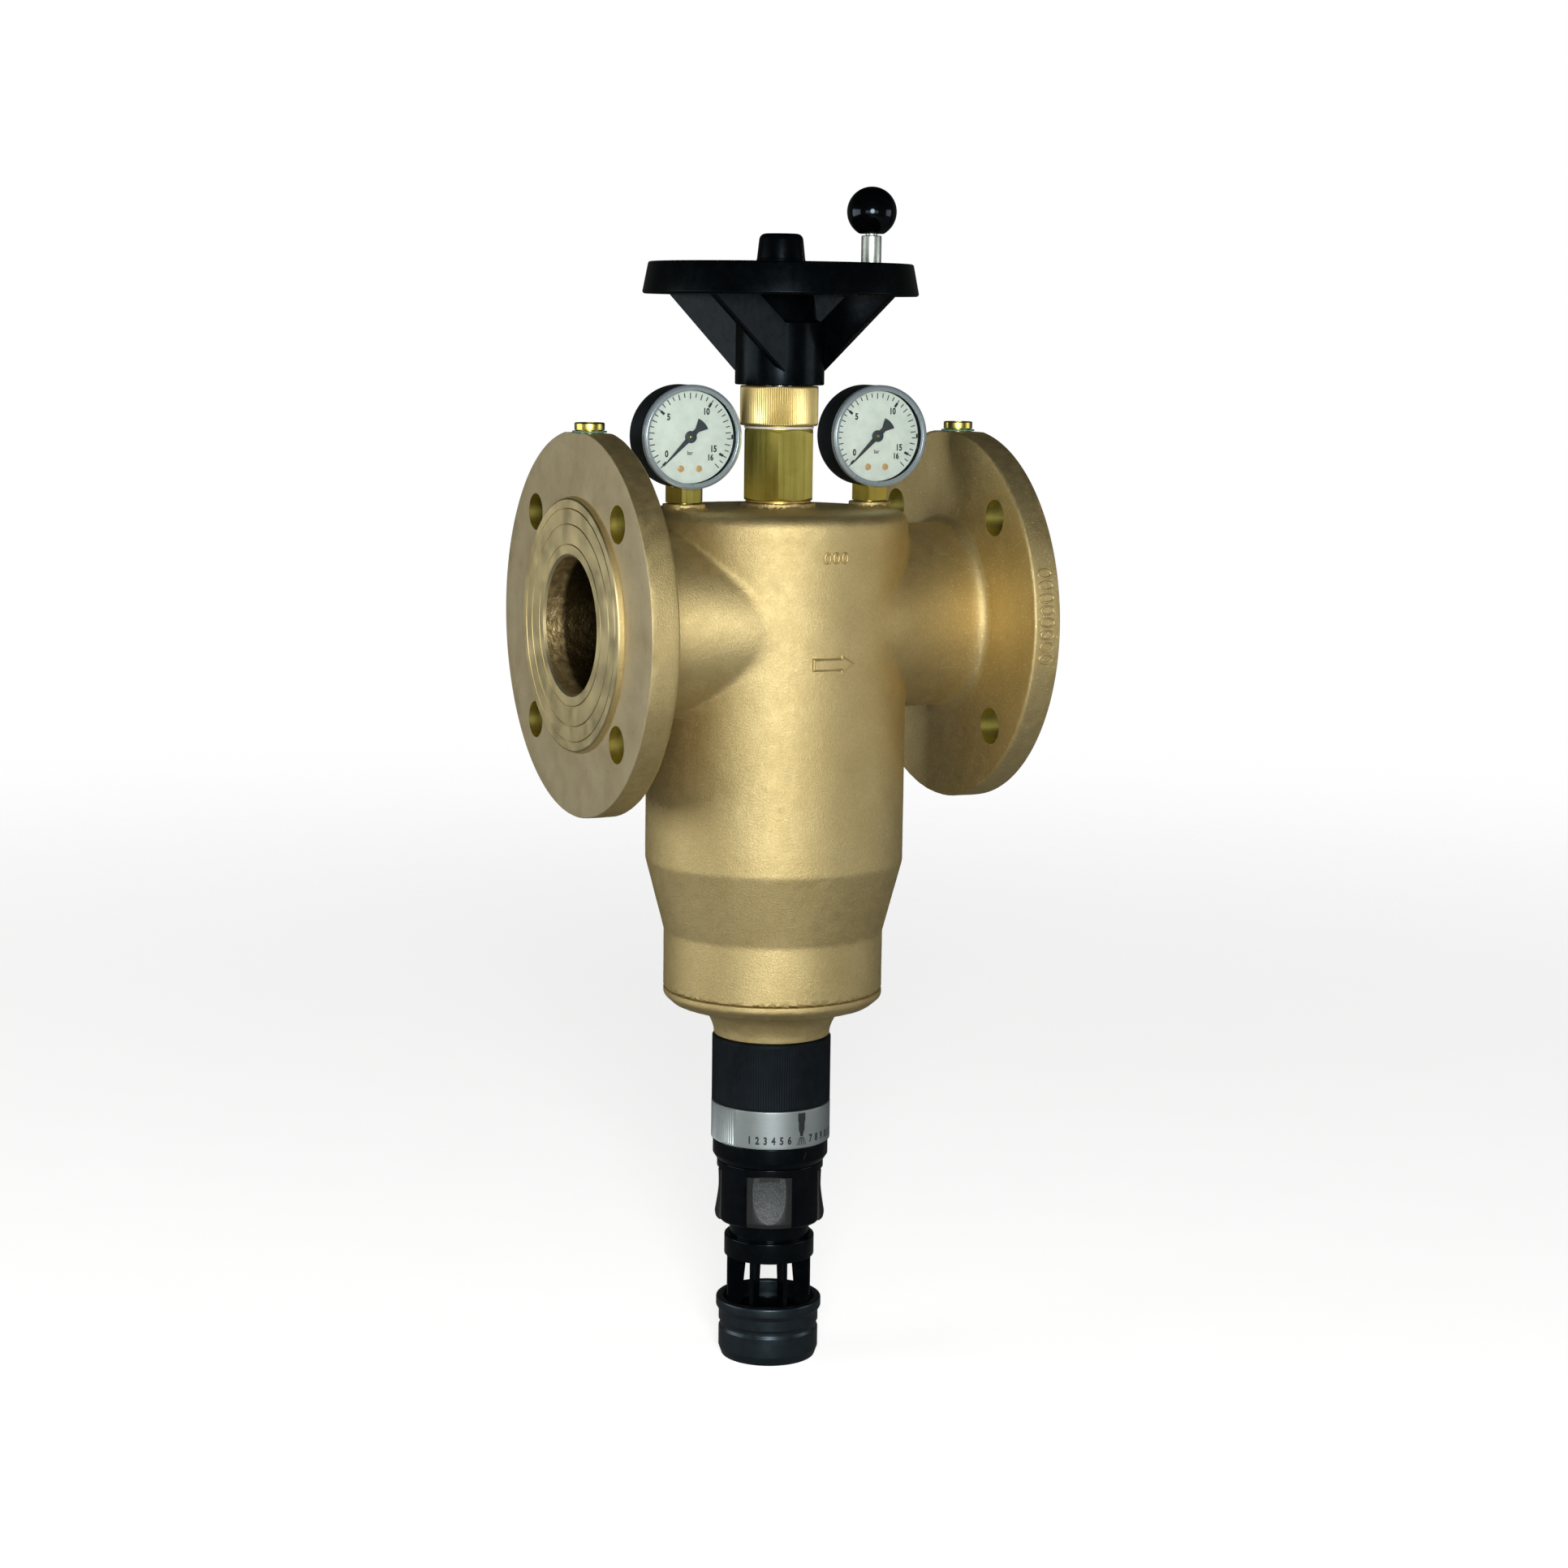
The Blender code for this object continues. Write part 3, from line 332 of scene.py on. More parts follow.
def piece(name, mesh, finish, body, nodes=()):
    """Puts a finished mesh in the scene, on its body, in place of the nodes it stands for."""
    obj = new_object(name, mesh)
    if finish:
        with_finish(mesh, finish)
    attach(obj, body)
    if nodes:
        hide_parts(*nodes)


def lathe(name, outline, finish, body="body", slot=None, **options):
    """A turned piece that stands for the node of the same name."""
    piece(f"{name}_fine", turned_mesh(name, outline, **options), finish, body, (name,))


def grain(points, size, amount):
    """A rough height for each point: two octaves of noise, the larger of the given size."""
    heights = [noise.noise(Vector(p) / size) + 0.6 * noise.noise(Vector(p) / size * 2.3) for p in points]
    return amount * np.array(heights)


def roughen(mesh, size, amount):
    points = points_of(mesh)
    raise_points(mesh, points, grain(points, size, amount))
    return mesh


# ---------------------------------------------------------------- material tools


class Shader:
    """A material being built from nodes."""

    def __init__(self, name, colour, roughness, metallic):
        self.material = bpy.data.materials.new(name)
        self.material.use_nodes = True
        self.tree = self.material.node_tree
        self.surface = self.tree.nodes["Principled BSDF"]
        self.put(self.surface, "Base Color", (*colour, 1.0))
        self.put(self.surface, "Roughness", roughness)
        self.put(self.surface, "Metallic", metallic)
        self.place = self.node("ShaderNodeTexCoord").outputs["Object"]

    def put(self, node, socket, value):
        if isinstance(value, bpy.types.NodeSocket):
            self.tree.links.new(value, node.inputs[socket])
        else:
            node.inputs[socket].default_value = value

    def node(self, kind, inputs=None, **settings):
        made = self.tree.nodes.new(kind)
        for key, value in settings.items():
            setattr(made, key, value)
        for key, value in (inputs or {}).items():
            self.put(made, key, value)
        return made

    def stretched(self, x, y, z):
        """The object's own coordinates, in millimetres divided by a size for each axis."""
        scale = (1 / (x * MM), 1 / (y * MM), 1 / (z * MM))
        return self.node("ShaderNodeMapping", {"Vector": self.place, "Scale": scale}).outputs[0]

    def noise(self, size, detail=2.0, rough=0.5, twist=0.0, place=None):
        """Noise about 0.5, with features of this size in millimetres."""
        inputs = {
            "Vector": place or self.stretched(size, size, size),
            "Scale": 1.0,
            "Detail": detail,
            "Roughness": rough,
            "Distortion": twist,
        }
        return self.node("ShaderNodeTexNoise", inputs).outputs["Fac"]

    def cells(self, size):
        inputs = {"Vector": self.stretched(size, size, size), "Scale": 1.0}
        return self.node("ShaderNodeTexVoronoi", inputs).outputs["Distance"]

    def mapped(self, value, low, high, to_low=0.0, to_high=1.0, smooth=False):
        inputs = {"Value": value, "From Min": low, "From Max": high, "To Min": to_low, "To Max": to_high}
        kind = "SMOOTHSTEP" if smooth else "LINEAR"
        return self.node("ShaderNodeMapRange", inputs, interpolation_type=kind).outputs["Result"]

    def math(self, operation, first, second=0.0):
        return self.node("ShaderNodeMath", {0: first, 1: second}, operation=operation).outputs[0]

    def mix(self, share, first, second):
        first = first if isinstance(first, bpy.types.NodeSocket) else (*first, 1.0)
        second = second if isinstance(second, bpy.types.NodeSocket) else (*second, 1.0)
        return self.node("ShaderNodeMix", {0: share, 6: first, 7: second}, data_type="RGBA").outputs[2]

    def axis(self, name):
        return self.node("ShaderNodeSeparateXYZ", {"Vector": self.place}).outputs[name]

    def colour(self, value):
        self.put(self.surface, "Base Color", value)

    def roughness(self, value):
        self.put(self.surface, "Roughness", value)

    def worn(self, size, low, high):
        """A roughness that wanders between two values, in patches of this size."""
        self.roughness(self.mapped(self.noise(size, 3, 0.6), 0.3, 0.7, low, high))

    def surface_to(self, shader):
        self.put(self.tree.nodes["Material Output"], "Surface", shader.outputs[0])

    def bump(self, height, depth, strength=1.0):
        """Adds a height of this depth in millimetres to the surface's normal."""
        inputs = {"Height": height, "Distance": depth * MM, "Strength": strength}
        link = self.surface.inputs["Normal"].links
        if link:
            inputs["Normal"] = link[0].from_socket
        self.put(self.surface, "Normal", self.node("ShaderNodeBump", inputs).outputs[0])


def cast_bronze():
    """Blasted sand-cast bronze: a fine grain, soft blotches, and painted glints, pale specks mostly
    towards the outlet.
    """
    made = Shader("cast_bronze_fine", (0.66, 0.52, 0.25), 0.55, 0.93)
    blotches = made.noise(38, 3, 0.55)
    tone = made.mix(made.mapped(blotches, 0.35, 0.68), (0.62, 0.495, 0.225), (0.71, 0.58, 0.285))
    fine = made.noise(1.1, 3, 0.65)
    tone = made.mix(made.mapped(fine, 0.30, 0.72, 0.0, 0.40), tone, (0.42, 0.31, 0.14))
    # Painted glints: pale specks mixed into the colour, strongest towards the outlet
    specks = made.mapped(made.noise(1.0, 1, 0.5), 0.64, 0.72)
    outlet_glint_share = made.mapped(made.axis("X"), 0.045, 0.080, 0.12, 0.75, smooth=True)
    tone = made.mix(made.math("MULTIPLY", specks, outlet_glint_share), tone, (0.90, 0.76, 0.50))
    made.colour(tone)
    made.worn(5, 0.48, 0.58)
    made.bump(made.noise(0.8, 4, 0.75), 0.20)
    made.bump(made.cells(0.8), 0.05, 0.7)
    return made.material


def cast_bore():
    """The same casting where the sand core left it: coarser, with painted shadow that makes it dark away
    from the flange faces.
    """
    made = Shader("shadowed_bore_fine", (0.40, 0.30, 0.13), 0.5, 0.9)
    tone = made.mapped(made.noise(4, 3, 0.6), 0.35, 0.65)
    tone = made.mix(tone, (0.36, 0.26, 0.11), (0.56, 0.43, 0.20))
    # Painted shadow: a few millimetres in from the flange faces the wall turns near black, with faint
    # specks
    outer = made.mapped(made.math("ABSOLUTE", made.axis("X")), 0.0985, 0.1020, smooth=True)
    specks = made.mapped(made.noise(1.4, 2, 0.6), 0.6, 0.75)
    dark = made.mix(specks, (0.050, 0.034, 0.011), (0.16, 0.12, 0.05))
    made.colour(made.mix(outer, dark, tone))
    made.worn(3, 0.36, 0.58)
    made.bump(made.noise(3.0, 4, 0.6), 0.55)
    made.bump(made.noise(0.9, 2, 0.6), 0.15)
    return made.material


def rings_about_x(made, pitch):
    """Fine turning marks about the port axis."""
    parts = made.node("ShaderNodeSeparateXYZ", {"Vector": made.place})
    height = made.math("SUBTRACT", parts.outputs["Z"], PORT.z)
    flat = made.node("ShaderNodeCombineXYZ", {"X": parts.outputs["Y"], "Y": height}).outputs[0]
    reach = made.node("ShaderNodeVectorMath", {0: flat}, operation="LENGTH").outputs["Value"]
    inputs = {"W": made.math("MULTIPLY", reach, 1 / (pitch * MM)), "Detail": 2.0}
    return made.node("ShaderNodeTexNoise", inputs, noise_dimensions="1D").outputs["Fac"]


def machined_bronze():
    """A faced flange: dull, brownish, with faint turning marks and stains."""
    made = Shader("machined_bronze", (0.52, 0.44, 0.26), 0.55, 0.8)
    marks = rings_about_x(made, 0.7)
    stains = made.mapped(made.noise(26, 4, 0.6, 0.4), 0.35, 0.70)
    tone = made.mix(stains, (0.55, 0.475, 0.295), (0.46, 0.375, 0.215))
    tone = made.mix(made.mapped(marks, 0.3, 0.7, 0.0, 0.22), tone, (0.68, 0.59, 0.38))
    speck = made.mapped(made.noise(1.3, 2, 0.5), 0.62, 0.75, 0.0, 0.35)
    made.colour(made.mix(speck, tone, (0.22, 0.15, 0.08)))
    made.worn(9, 0.50, 0.62)
    made.bump(marks, 0.02)
    made.bump(made.noise(1.2, 2, 0.6), 0.04)
    return made.material


def bright_bronze():
    """Freshly cut bronze: sealing faces, bolt holes and chamfers."""
    made = Shader("bright_bronze", (0.74, 0.62, 0.33), 0.34, 1.0)
    marks = rings_about_x(made, 0.6)
    made.colour(made.mix(made.mapped(marks, 0.25, 0.75), (0.68, 0.56, 0.28), (0.80, 0.69, 0.40)))
    made.worn(14, 0.28, 0.40)
    made.put(made.surface, "Anisotropic", 0.6)
    made.bump(marks, 0.012)
    return made.material


def brass(name, pull=(1.2, 1.2, 60.0), roughness=0.40):
    """Drawn brass with streaks along one axis, dulled in patches."""
    made = Shader(name, (0.68, 0.58, 0.18), roughness, 1.0)
    streaks = made.noise(1, 3, 0.5, place=made.stretched(*pull))
    clouds = made.mapped(made.noise(11, 4, 0.6, 0.3), 0.38, 0.68)
    tone = made.mix(clouds, (0.66, 0.57, 0.13), (0.56, 0.48, 0.10))
    made.colour(made.mix(made.mapped(streaks, 0.35, 0.70, 0.0, 0.30), tone, (0.76, 0.68, 0.24)))
    made.roughness(made.mapped(streaks, 0.3, 0.7, roughness - 0.04, roughness + 0.06))
    made.bump(streaks, 0.006)
    made.bump(made.noise(0.6, 2, 0.5), 0.006)
    return made.material


def black_plastic(name, roughness, ripple=0.006, colour=(0.004, 0.005, 0.0065), shine=0.3):
    """Moulded black plastic with a faint ripple and dust-fine wear."""
    made = Shader(name, colour, roughness, 0.0)
    made.put(made.surface, "Specular IOR Level", shine)
    made.put(made.surface, "Specular Tint", (0.62, 0.84, 1.0, 1.0))
    wear = made.mapped(made.noise(7, 4, 0.65), 0.45, 0.75)
    lighter = tuple(min(1.0, value * 1.6 + 0.001) for value in colour)
    made.colour(made.mix(wear, colour, lighter))
    made.worn(4, roughness * 0.85, roughness * 1.25)
    made.bump(made.noise(5.0, 2, 0.5), ripple * 3)
    made.bump(made.noise(0.5, 2, 0.6), ripple * 0.3)
    return made.material


def grained_plastic(name, dark, pale):
    """The eroded finish on the release tabs."""
    made = Shader(name, dark, 0.5, 0.0)
    dots = made.noise(0.5, 2, 0.6)
    made.colour(made.mix(made.mapped(dots, 0.4, 0.7), dark, pale))
    made.roughness(made.mapped(dots, 0.3, 0.7, 0.62, 0.40))
    made.bump(dots, 0.10)
    return made.material


def brushed_aluminium():
    made = Shader("brushed_aluminium", (0.40, 0.45, 0.45), 0.45, 0.85)
    lines = made.noise(1, 4, 0.6, place=made.stretched(9.0, 9.0, 0.12))
    made.colour(made.mix(made.mapped(lines, 0.3, 0.7), (0.35, 0.40, 0.405), (0.45, 0.50, 0.50)))
    made.roughness(made.mapped(lines, 0.3, 0.7, 0.40, 0.52))
    made.bump(lines, 0.01)
    return made.material


def polished(name, colour, roughness, metallic=1.0):
    """Chrome, copper or ground steel, with faint smears."""
    made = Shader(name, colour, roughness, metallic)
    smears = made.noise(14, 2, 0.5)
    made.roughness(made.mapped(smears, 0.3, 0.7, roughness * 0.85, roughness * 1.2))
    made.colour(made.mix(made.mapped(smears, 0.3, 0.7, 0.0, 0.3), colour, tuple(v * 0.8 for v in colour)))
    return made.material


def knurled_brass():
    """The ribbed nut: an even, dull tan gold."""
    made = Shader("knurled_brass", (0.76, 0.62, 0.27), 0.5, 1.0)
    clouds = made.mapped(made.noise(9, 3, 0.6), 0.35, 0.70)
    made.colour(made.mix(clouds, (0.78, 0.64, 0.28), (0.70, 0.56, 0.23)))
    made.roughness(made.mapped(clouds, 0.0, 1.0, 0.48, 0.54))
    made.bump(made.noise(0.7, 2, 0.5), 0.02)
    return made.material


def woven_steel():
    """Filter cloth: a fine square weave around the sieve."""
    made = Shader("woven_steel", (0.50, 0.50, 0.49), 0.34, 1.0)
    parts = made.node("ShaderNodeSeparateXYZ", {"Vector": made.place})
    around = made.math("ARCTAN2", parts.outputs["Y"], parts.outputs["X"])
    across = made.math("SINE", made.math("MULTIPLY", around, 260.0))
    along = made.math("SINE", made.math("MULTIPLY", parts.outputs["Z"], math.tau / (0.87 * MM)))
    weave = made.math("MAXIMUM", across, along)
    made.colour(made.mix(made.mapped(weave, -0.4, 0.8), (0.06, 0.06, 0.06), (0.60, 0.60, 0.58)))
    made.bump(weave, 0.08)
    return made.material


def matt(name, colour, roughness, size=2.0, depth=0.03):
    """Paint, rubber, fibre or print: a soft mottle and a fine tooth."""
    made = Shader(name, colour, roughness, 0.0)
    mottle = made.mapped(made.noise(size, 3, 0.6), 0.3, 0.7)
    darker = tuple(value * 0.86 for value in colour)
    made.colour(made.mix(mottle, colour, darker))
    made.roughness(made.mapped(mottle, 0.0, 1.0, roughness * 0.9, min(1.0, roughness * 1.1)))
    made.bump(made.noise(size * 0.3, 2, 0.5), depth)
    return made.material


def clear_lens():
    """A thin window: clear from the front, and mirror-like at its edge."""
    made = Shader("clear_lens_fine", (0.95, 0.98, 0.98), 0.03, 0.0)
    rim = made.node("ShaderNodeFresnel", {"IOR": 1.46}).outputs[0]
    clear = made.node("ShaderNodeBsdfTransparent", {"Color": (0.97, 0.985, 0.98, 1.0)})
    gloss = made.node("ShaderNodeBsdfGlossy", {"Color": (1.0, 1.0, 1.0, 1.0), "Roughness": 0.03})
    smears = made.noise(9, 3, 0.6)
    made.put(gloss, "Roughness", made.mapped(smears, 0.4, 0.7, 0.02, 0.06))
    faint = made.math("MULTIPLY", rim, 0.35)
    both = made.node("ShaderNodeMixShader", {0: faint, 1: clear.outputs[0], 2: gloss.outputs[0]})
    made.surface_to(both)
    made.tree.nodes.remove(made.surface)
    return made.material


CAST = cast_bronze()
# The bore and cavity material, with painted shadow deep inside
SHADOWED_BORE = cast_bore()
FACED = machined_bronze()
BRIGHT = bright_bronze()
BRASS = brass("drawn_brass")
BRASS_TURNED = brass("turned_brass", (14.0, 14.0, 0.5), 0.30)
BRASS_KNURLED = knurled_brass()
DRILLED = brass("drilled_bronze", (0.5, 14.0, 14.0), 0.36)
GLOSS = black_plastic("gloss_plastic", 0.14, 0.001, (0.0015, 0.0020, 0.0025), 0.16)
WHEEL = black_plastic("wheel_plastic", 0.25, 0.001, (0.001, 0.0015, 0.002), 0.08)
BALL = black_plastic("ball_plastic", 0.10, 0.0003, (0.001, 0.001, 0.0015), 0.30)
SATIN = black_plastic("satin_plastic", 0.42, 0.003, (0.003, 0.004, 0.005), 0.20)
FUNNEL = black_plastic("funnel_plastic", 0.32, 0.002, (0.003, 0.0045, 0.0055), 0.75)
CASE = black_plastic("case_paint", 0.36, 0.002, (0.005, 0.007, 0.009), 0.35)
GRAINED = grained_plastic("grained_plastic", (0.003, 0.004, 0.004), (0.009, 0.010, 0.010))
THUMBED = grained_plastic("thumbed_plastic", (0.020, 0.023, 0.024), (0.100, 0.115, 0.115))
ALUMINIUM = brushed_aluminium()
BEZEL = polished("bezel_chrome", (0.40, 0.48, 0.52), 0.26, 0.5)
PIN = polished("satin_chrome", (0.62, 0.68, 0.62), 0.38)
STEEL = polished("ground_steel", (0.56, 0.56, 0.55), 0.28)
COPPER = polished("copper", (0.86, 0.54, 0.24), 0.34, 0.5)
WEAVE = woven_steel()
RUBBER = matt("black_rubber", (0.016, 0.016, 0.016), 0.7, 1.5)
WHITE_SEAL = matt("white_fibre", (0.78, 0.78, 0.75), 0.55, 1.2)
GREEN_SEAL = matt("green_fibre", (0.12, 0.26, 0.18), 0.6, 1.2)
DIAL = matt("dial_paint", (0.80, 0.86, 0.78), 0.5, 6.0, 0.004)
PRINT = matt("dark_print", (0.020, 0.023, 0.026), 0.45, 3.0, 0.003)
NEEDLE = matt("pointer_paint", (0.045, 0.055, 0.062), 0.4, 3.0, 0.003)
LENS = clear_lens()


# ---------------------------------------------------------------- body casting


BARREL = [
    (0, 54.5), (BODY_RADIUS, 54.5, 7.0), (BODY_RADIUS, -119.0, 3.0), (LOWER_RADIUS, -155.0, 4.0),
    (LOWER_RADIUS, BODY_BOTTOM, 0.8), (0, BODY_BOTTOM),
]


def round_union(first, second, radius):
    """The distance to two solids joined with a fillet."""
    outside = np.maximum(radius, np.minimum(first, second))
    return outside - np.hypot(np.maximum(radius - first, 0), np.maximum(radius - second, 0))


def drum_distance(reach, height, radius, half):
    """The distance to a cylinder, from the distance to its axis and the height above its middle."""
    out = np.maximum(reach - radius, np.abs(height) - half)
    corner = np.hypot(np.maximum(reach - radius, 0), np.maximum(np.abs(height) - half, 0))
    return np.where(out < 0, out, corner)


def outline_distance(reach, height, outline):
    """The distance to a closed outline, below zero inside it."""
    nearest = np.full(len(reach), np.inf)
    inside = np.zeros(len(reach), bool)
    for (ax, ay), (bx, by) in zip(outline, outline[1:] + outline[:1]):
        dx, dy = bx - ax, by - ay
        along = ((reach - ax) * dx + (height - ay) * dy) / (dx * dx + dy * dy)
        along = np.clip(along, 0, 1)
        nearest = np.minimum(nearest, np.hypot(reach - ax - along * dx, height - ay - along * dy))
        if dy:
            crosses = (ay > height) != (by > height)
            inside ^= crosses & (reach < dx * (height - ay) / dy + ax)
    return np.where(inside, -nearest, nearest)


BARREL_OUTLINE = rounded([(-99.0, 54.5)] + BARREL[1:-1] + [(-99.0, BODY_BOTTOM)], False)


def casting_distance(points):
    """The distance to the casting's outside, without its flanges."""
    x, y, z = points.T
    barrel = outline_distance(np.hypot(x, y), z, BARREL_OUTLINE)
    along = np.abs(x)
    wide = np.interp(along, *NECK_WIDTHS)
    size = np.hypot(y / wide, z / NECK_RADIUS)
    slope = np.hypot(y / wide**2, z / NECK_RADIUS**2)
    neck = np.maximum((size - 1) * size / np.maximum(slope, 1e-6), along - 100)
    half = (FLANGE_FRONT - FLANGE_BACK) / 2 - 0.05
    disc = drum_distance(np.hypot(y, z), along - FLANGE_MIDDLE, DISC_RADIUS, half)
    solid = round_union(barrel, round_union(neck, disc, 5.5), 1.8)
    post = drum_distance(np.hypot(along - GAUGE_OFFSET, y), z - 48.0, POST_RADIUS, 10.0)
    centre_boss = drum_distance(np.hypot(x, y), z - 48.0, BOSS_RADIUS, 10.0)
    return round_union(round_union(solid, post, 1.2), centre_boss, 1.2)


def gradient(points):
    """The direction straight out of the casting at each point."""
    shifts = np.eye(3) * SLOPE_STEP
    parts = [casting_distance(points + shift) - casting_distance(points - shift) for shift in shifts]
    slope = np.stack(parts, 1) / (2 * SLOPE_STEP)
    return slope / np.maximum(np.linalg.norm(slope, axis=1), 1e-6)[:, None]


def onto_surface(points, rounds):
    for _ in range(rounds):
        away = np.clip(casting_distance(points), -1.5, 1.5)
        points = points - gradient(points) * away[:, None]
    return points


def remeshed(mesh, voxel):
    obj = new_object("remesh", mesh)
    step = obj.modifiers.new("Remesh", "REMESH")
    step.mode = "VOXEL"
    step.voxel_size = voxel * MM
    return evaluated(obj)


def add_rough_casting(shape):
    for side in (-1, 1):
        verts = add_drum(shape, NECK_RADIUS, (side * 99, 0, 0), (side * 10, 0, 0))
        for vert in verts:
            if abs(vert.co.x) < 11:
                vert.co.y *= NECK_WIDTHS[1][0] / NECK_RADIUS
        add_drum(shape, DISC_RADIUS, (side * FLANGE_BACK, 0, 0), (side * FLANGE_FRONT, 0, 0))
        add_drum(shape, POST_RADIUS, (side * GAUGE_OFFSET, 0, 45), (side * GAUGE_OFFSET, 0, 57.5))
    add_drum(shape, BOSS_RADIUS, (0, 0, 45), (0, 0, 57.5))


def casting_skin():
    """The blended outside of the barrel, necks and bosses, with its cast unevenness."""
    barrel = turned_mesh("barrel", BARREL, steps=96, loop=False)
    rest = shaped("necks", add_rough_casting)
    mesh = remeshed(joined_mesh("rough_casting", [barrel, rest]), 2 * CAST_VOXEL)
    move_points(mesh, onto_surface(points_of(mesh), 4))
    mesh = remeshed(mesh, CAST_VOXEL)
    points = onto_surface(points_of(mesh), 3)
    heights = grain(points, 3.0, 0.035) + grain(points, 17.0, 0.07)
    heights[points[:, 2] < BODY_BOTTOM + 0.5] = 0
    move_points(mesh, points + gradient(points) * heights[:, None])
    mesh.name = "body_skin"
    return with_finish(mesh, CAST)


def sideways(side):
    """Turns an upright shape so that its top points along X, towards this side."""
    return Matrix.Rotation(side * math.pi / 2, 4, "Y")


def flange_mesh(side):
    """One flange with its grooved raised face."""
    face = [(0, FLANGE_FACE)]
    for radius in sorted(GROOVE_RADII):
        face += [
            (radius - 0.45, FLANGE_FACE), (radius, FLANGE_FACE - 0.5),
            (radius + 0.25, FLANGE_FACE - 0.5), (radius + 0.30, FLANGE_FACE),
        ]
    outline = face + [
        (RAISED_RADIUS - 0.8, FLANGE_FACE), (RAISED_RADIUS, FLANGE_FACE - 0.5),
        (RAISED_RADIUS + 0.2, FLANGE_FRONT + 0.4), (RAISED_RADIUS + 0.8, FLANGE_FRONT),
        (FLANGE_RADIUS - 8.0, FLANGE_FRONT), (FLANGE_RADIUS, FLANGE_FRONT, 0.5),
        (FLANGE_RADIUS, FLANGE_BACK, 1.6), (70.0, FLANGE_BACK), (0, FLANGE_BACK),
    ]
    mesh = turned_mesh("flange", outline, steps=224, loop=False, place=sideways(side))
    mesh = split_long_faces(mesh)
    points = points_of(mesh)
    cast = np.abs(points[:, 0]) < FLANGE_FRONT - 0.4
    raise_points(mesh, points, np.where(cast, grain(points, 2.4, 0.13) + grain(points, 15.0, 0.08), 0))
    for finish in (CAST, FACED, BRIGHT):
        mesh.materials.append(finish)
    for polygon in mesh.polygons:
        x = abs(polygon.center.x) / MM
        reach = math.hypot(polygon.center.y, polygon.center.z - PORT.z) / MM
        if x > FLANGE_FACE - 0.6 and reach < RAISED_RADIUS:
            polygon.material_index = 2
        elif x > FLANGE_FRONT - 0.3 and reach > RAISED_RADIUS + 0.5:
            polygon.material_index = 1
    return mesh


def split_long_faces(mesh):
    """Cuts long edges, so that the noise has points to move."""
    shape = bmesh.new()
    shape.from_mesh(mesh)

    def is_long(edge):
        behind = abs(edge.verts[0].co.x) < (FLANGE_FRONT - 0.4) * MM
        return behind and edge.calc_length() > LONGEST_EDGE * MM

    for _ in range(3):
        edges = [edge for edge in shape.edges if is_long(edge)]
        if edges:
            bmesh.ops.subdivide_edges(shape, edges=edges, cuts=1, use_grid_fill=True)
    bmesh.ops.triangulate(shape, faces=[face for face in shape.faces if len(face.verts) > 4])
    shape.to_mesh(mesh)
    shape.free()
    shade(mesh)
    return mesh


def cavity_mesh():
    inside, lower, end = BODY_RADIUS - WALL, LOWER_RADIUS - WALL, BODY_BOTTOM - 5
    outline = [
        (0, 47.0), (inside, 47.0, 6.0), (inside, -119.0), (lower, -155.0), (lower, end), (0, end),
    ]
    return with_finish(turned_mesh("cavity", outline, steps=96, loop=False), SHADOWED_BORE)


def bore_mesh(side, start):
    """A cast bore along X, rough like a sand core, with a short chamfer at the flange face."""
    rows = [start + (FLANGE_FACE - start) * i / 40 for i in range(41)]
    past = FLANGE_FACE + 2
    outline = [(0, past), (BORE_RADIUS + 3.2, past), (BORE_RADIUS, FLANGE_FACE - 1.2)]
    outline += [(BORE_RADIUS, row) for row in reversed(rows) if row < FLANGE_FACE - 3]
    outline.append((0, start))
    mesh = turned_mesh("bore", outline, steps=144, loop=False, place=sideways(side))
    points = points_of(mesh)
    heights = grain(points, 5.0, 0.35) + grain(points, 2.4, 0.16)
    heights[np.abs(points[:, 0]) > FLANGE_FACE - 4] = 0
    heights[np.hypot(points[:, 1], points[:, 2]) < 5] = 0
    raise_points(mesh, points, heights)
    mesh.materials.append(SHADOWED_BORE)
    mesh.materials.append(BRIGHT)
    for polygon in mesh.polygons:
        if abs(polygon.center.x) / MM > FLANGE_FACE - 1.6:
            polygon.material_index = 1
    return mesh


def add_bolt_holes(shape):
    for side in (-1, 1):
        for quarter in range(4):
            angle = math.radians(45 + 90 * quarter)
            y, z = BOLT_CIRCLE * math.cos(angle), BOLT_CIRCLE * math.sin(angle)
            add_drum(shape, BOLT_HOLE, (side * 88, y, z), (side * 112, y, z), 48)


def add_drillings(shape):
    """The bonnet's thread, the gauge connections and the test-plug threads."""
    add_drum(shape, 13.7, (0, 0, 43), (0, 0, 60))
    add_drum(shape, 4.5, (GAUGE_OFFSET, 0, 43), (GAUGE_OFFSET, 0, 60), 32)
    add_drum(shape, 4.5, (-GAUGE_OFFSET, 0, 28), (-GAUGE_OFFSET, 0, 60), 32)
    for side in (-1, 1):
        add_drum(shape, 5.3, (side * FLANGE_MIDDLE, 0, 78), (side * FLANGE_MIDDLE, 0, 94), 32)


def add_spot_faces(shape):
    for radius, x in ((20.0, 0), (12.5, -GAUGE_OFFSET), (12.5, GAUGE_OFFSET)):
        add_drum(shape, radius, (x, 0, BOSS_TOP), (x, 0, 62))


def add_flats(shape):
    for side in (-1, 1):
        x = side * FLANGE_MIDDLE
        add_box(shape, (x - 12, -30, FLANGE_FLAT), (x + 12, 30, 100))


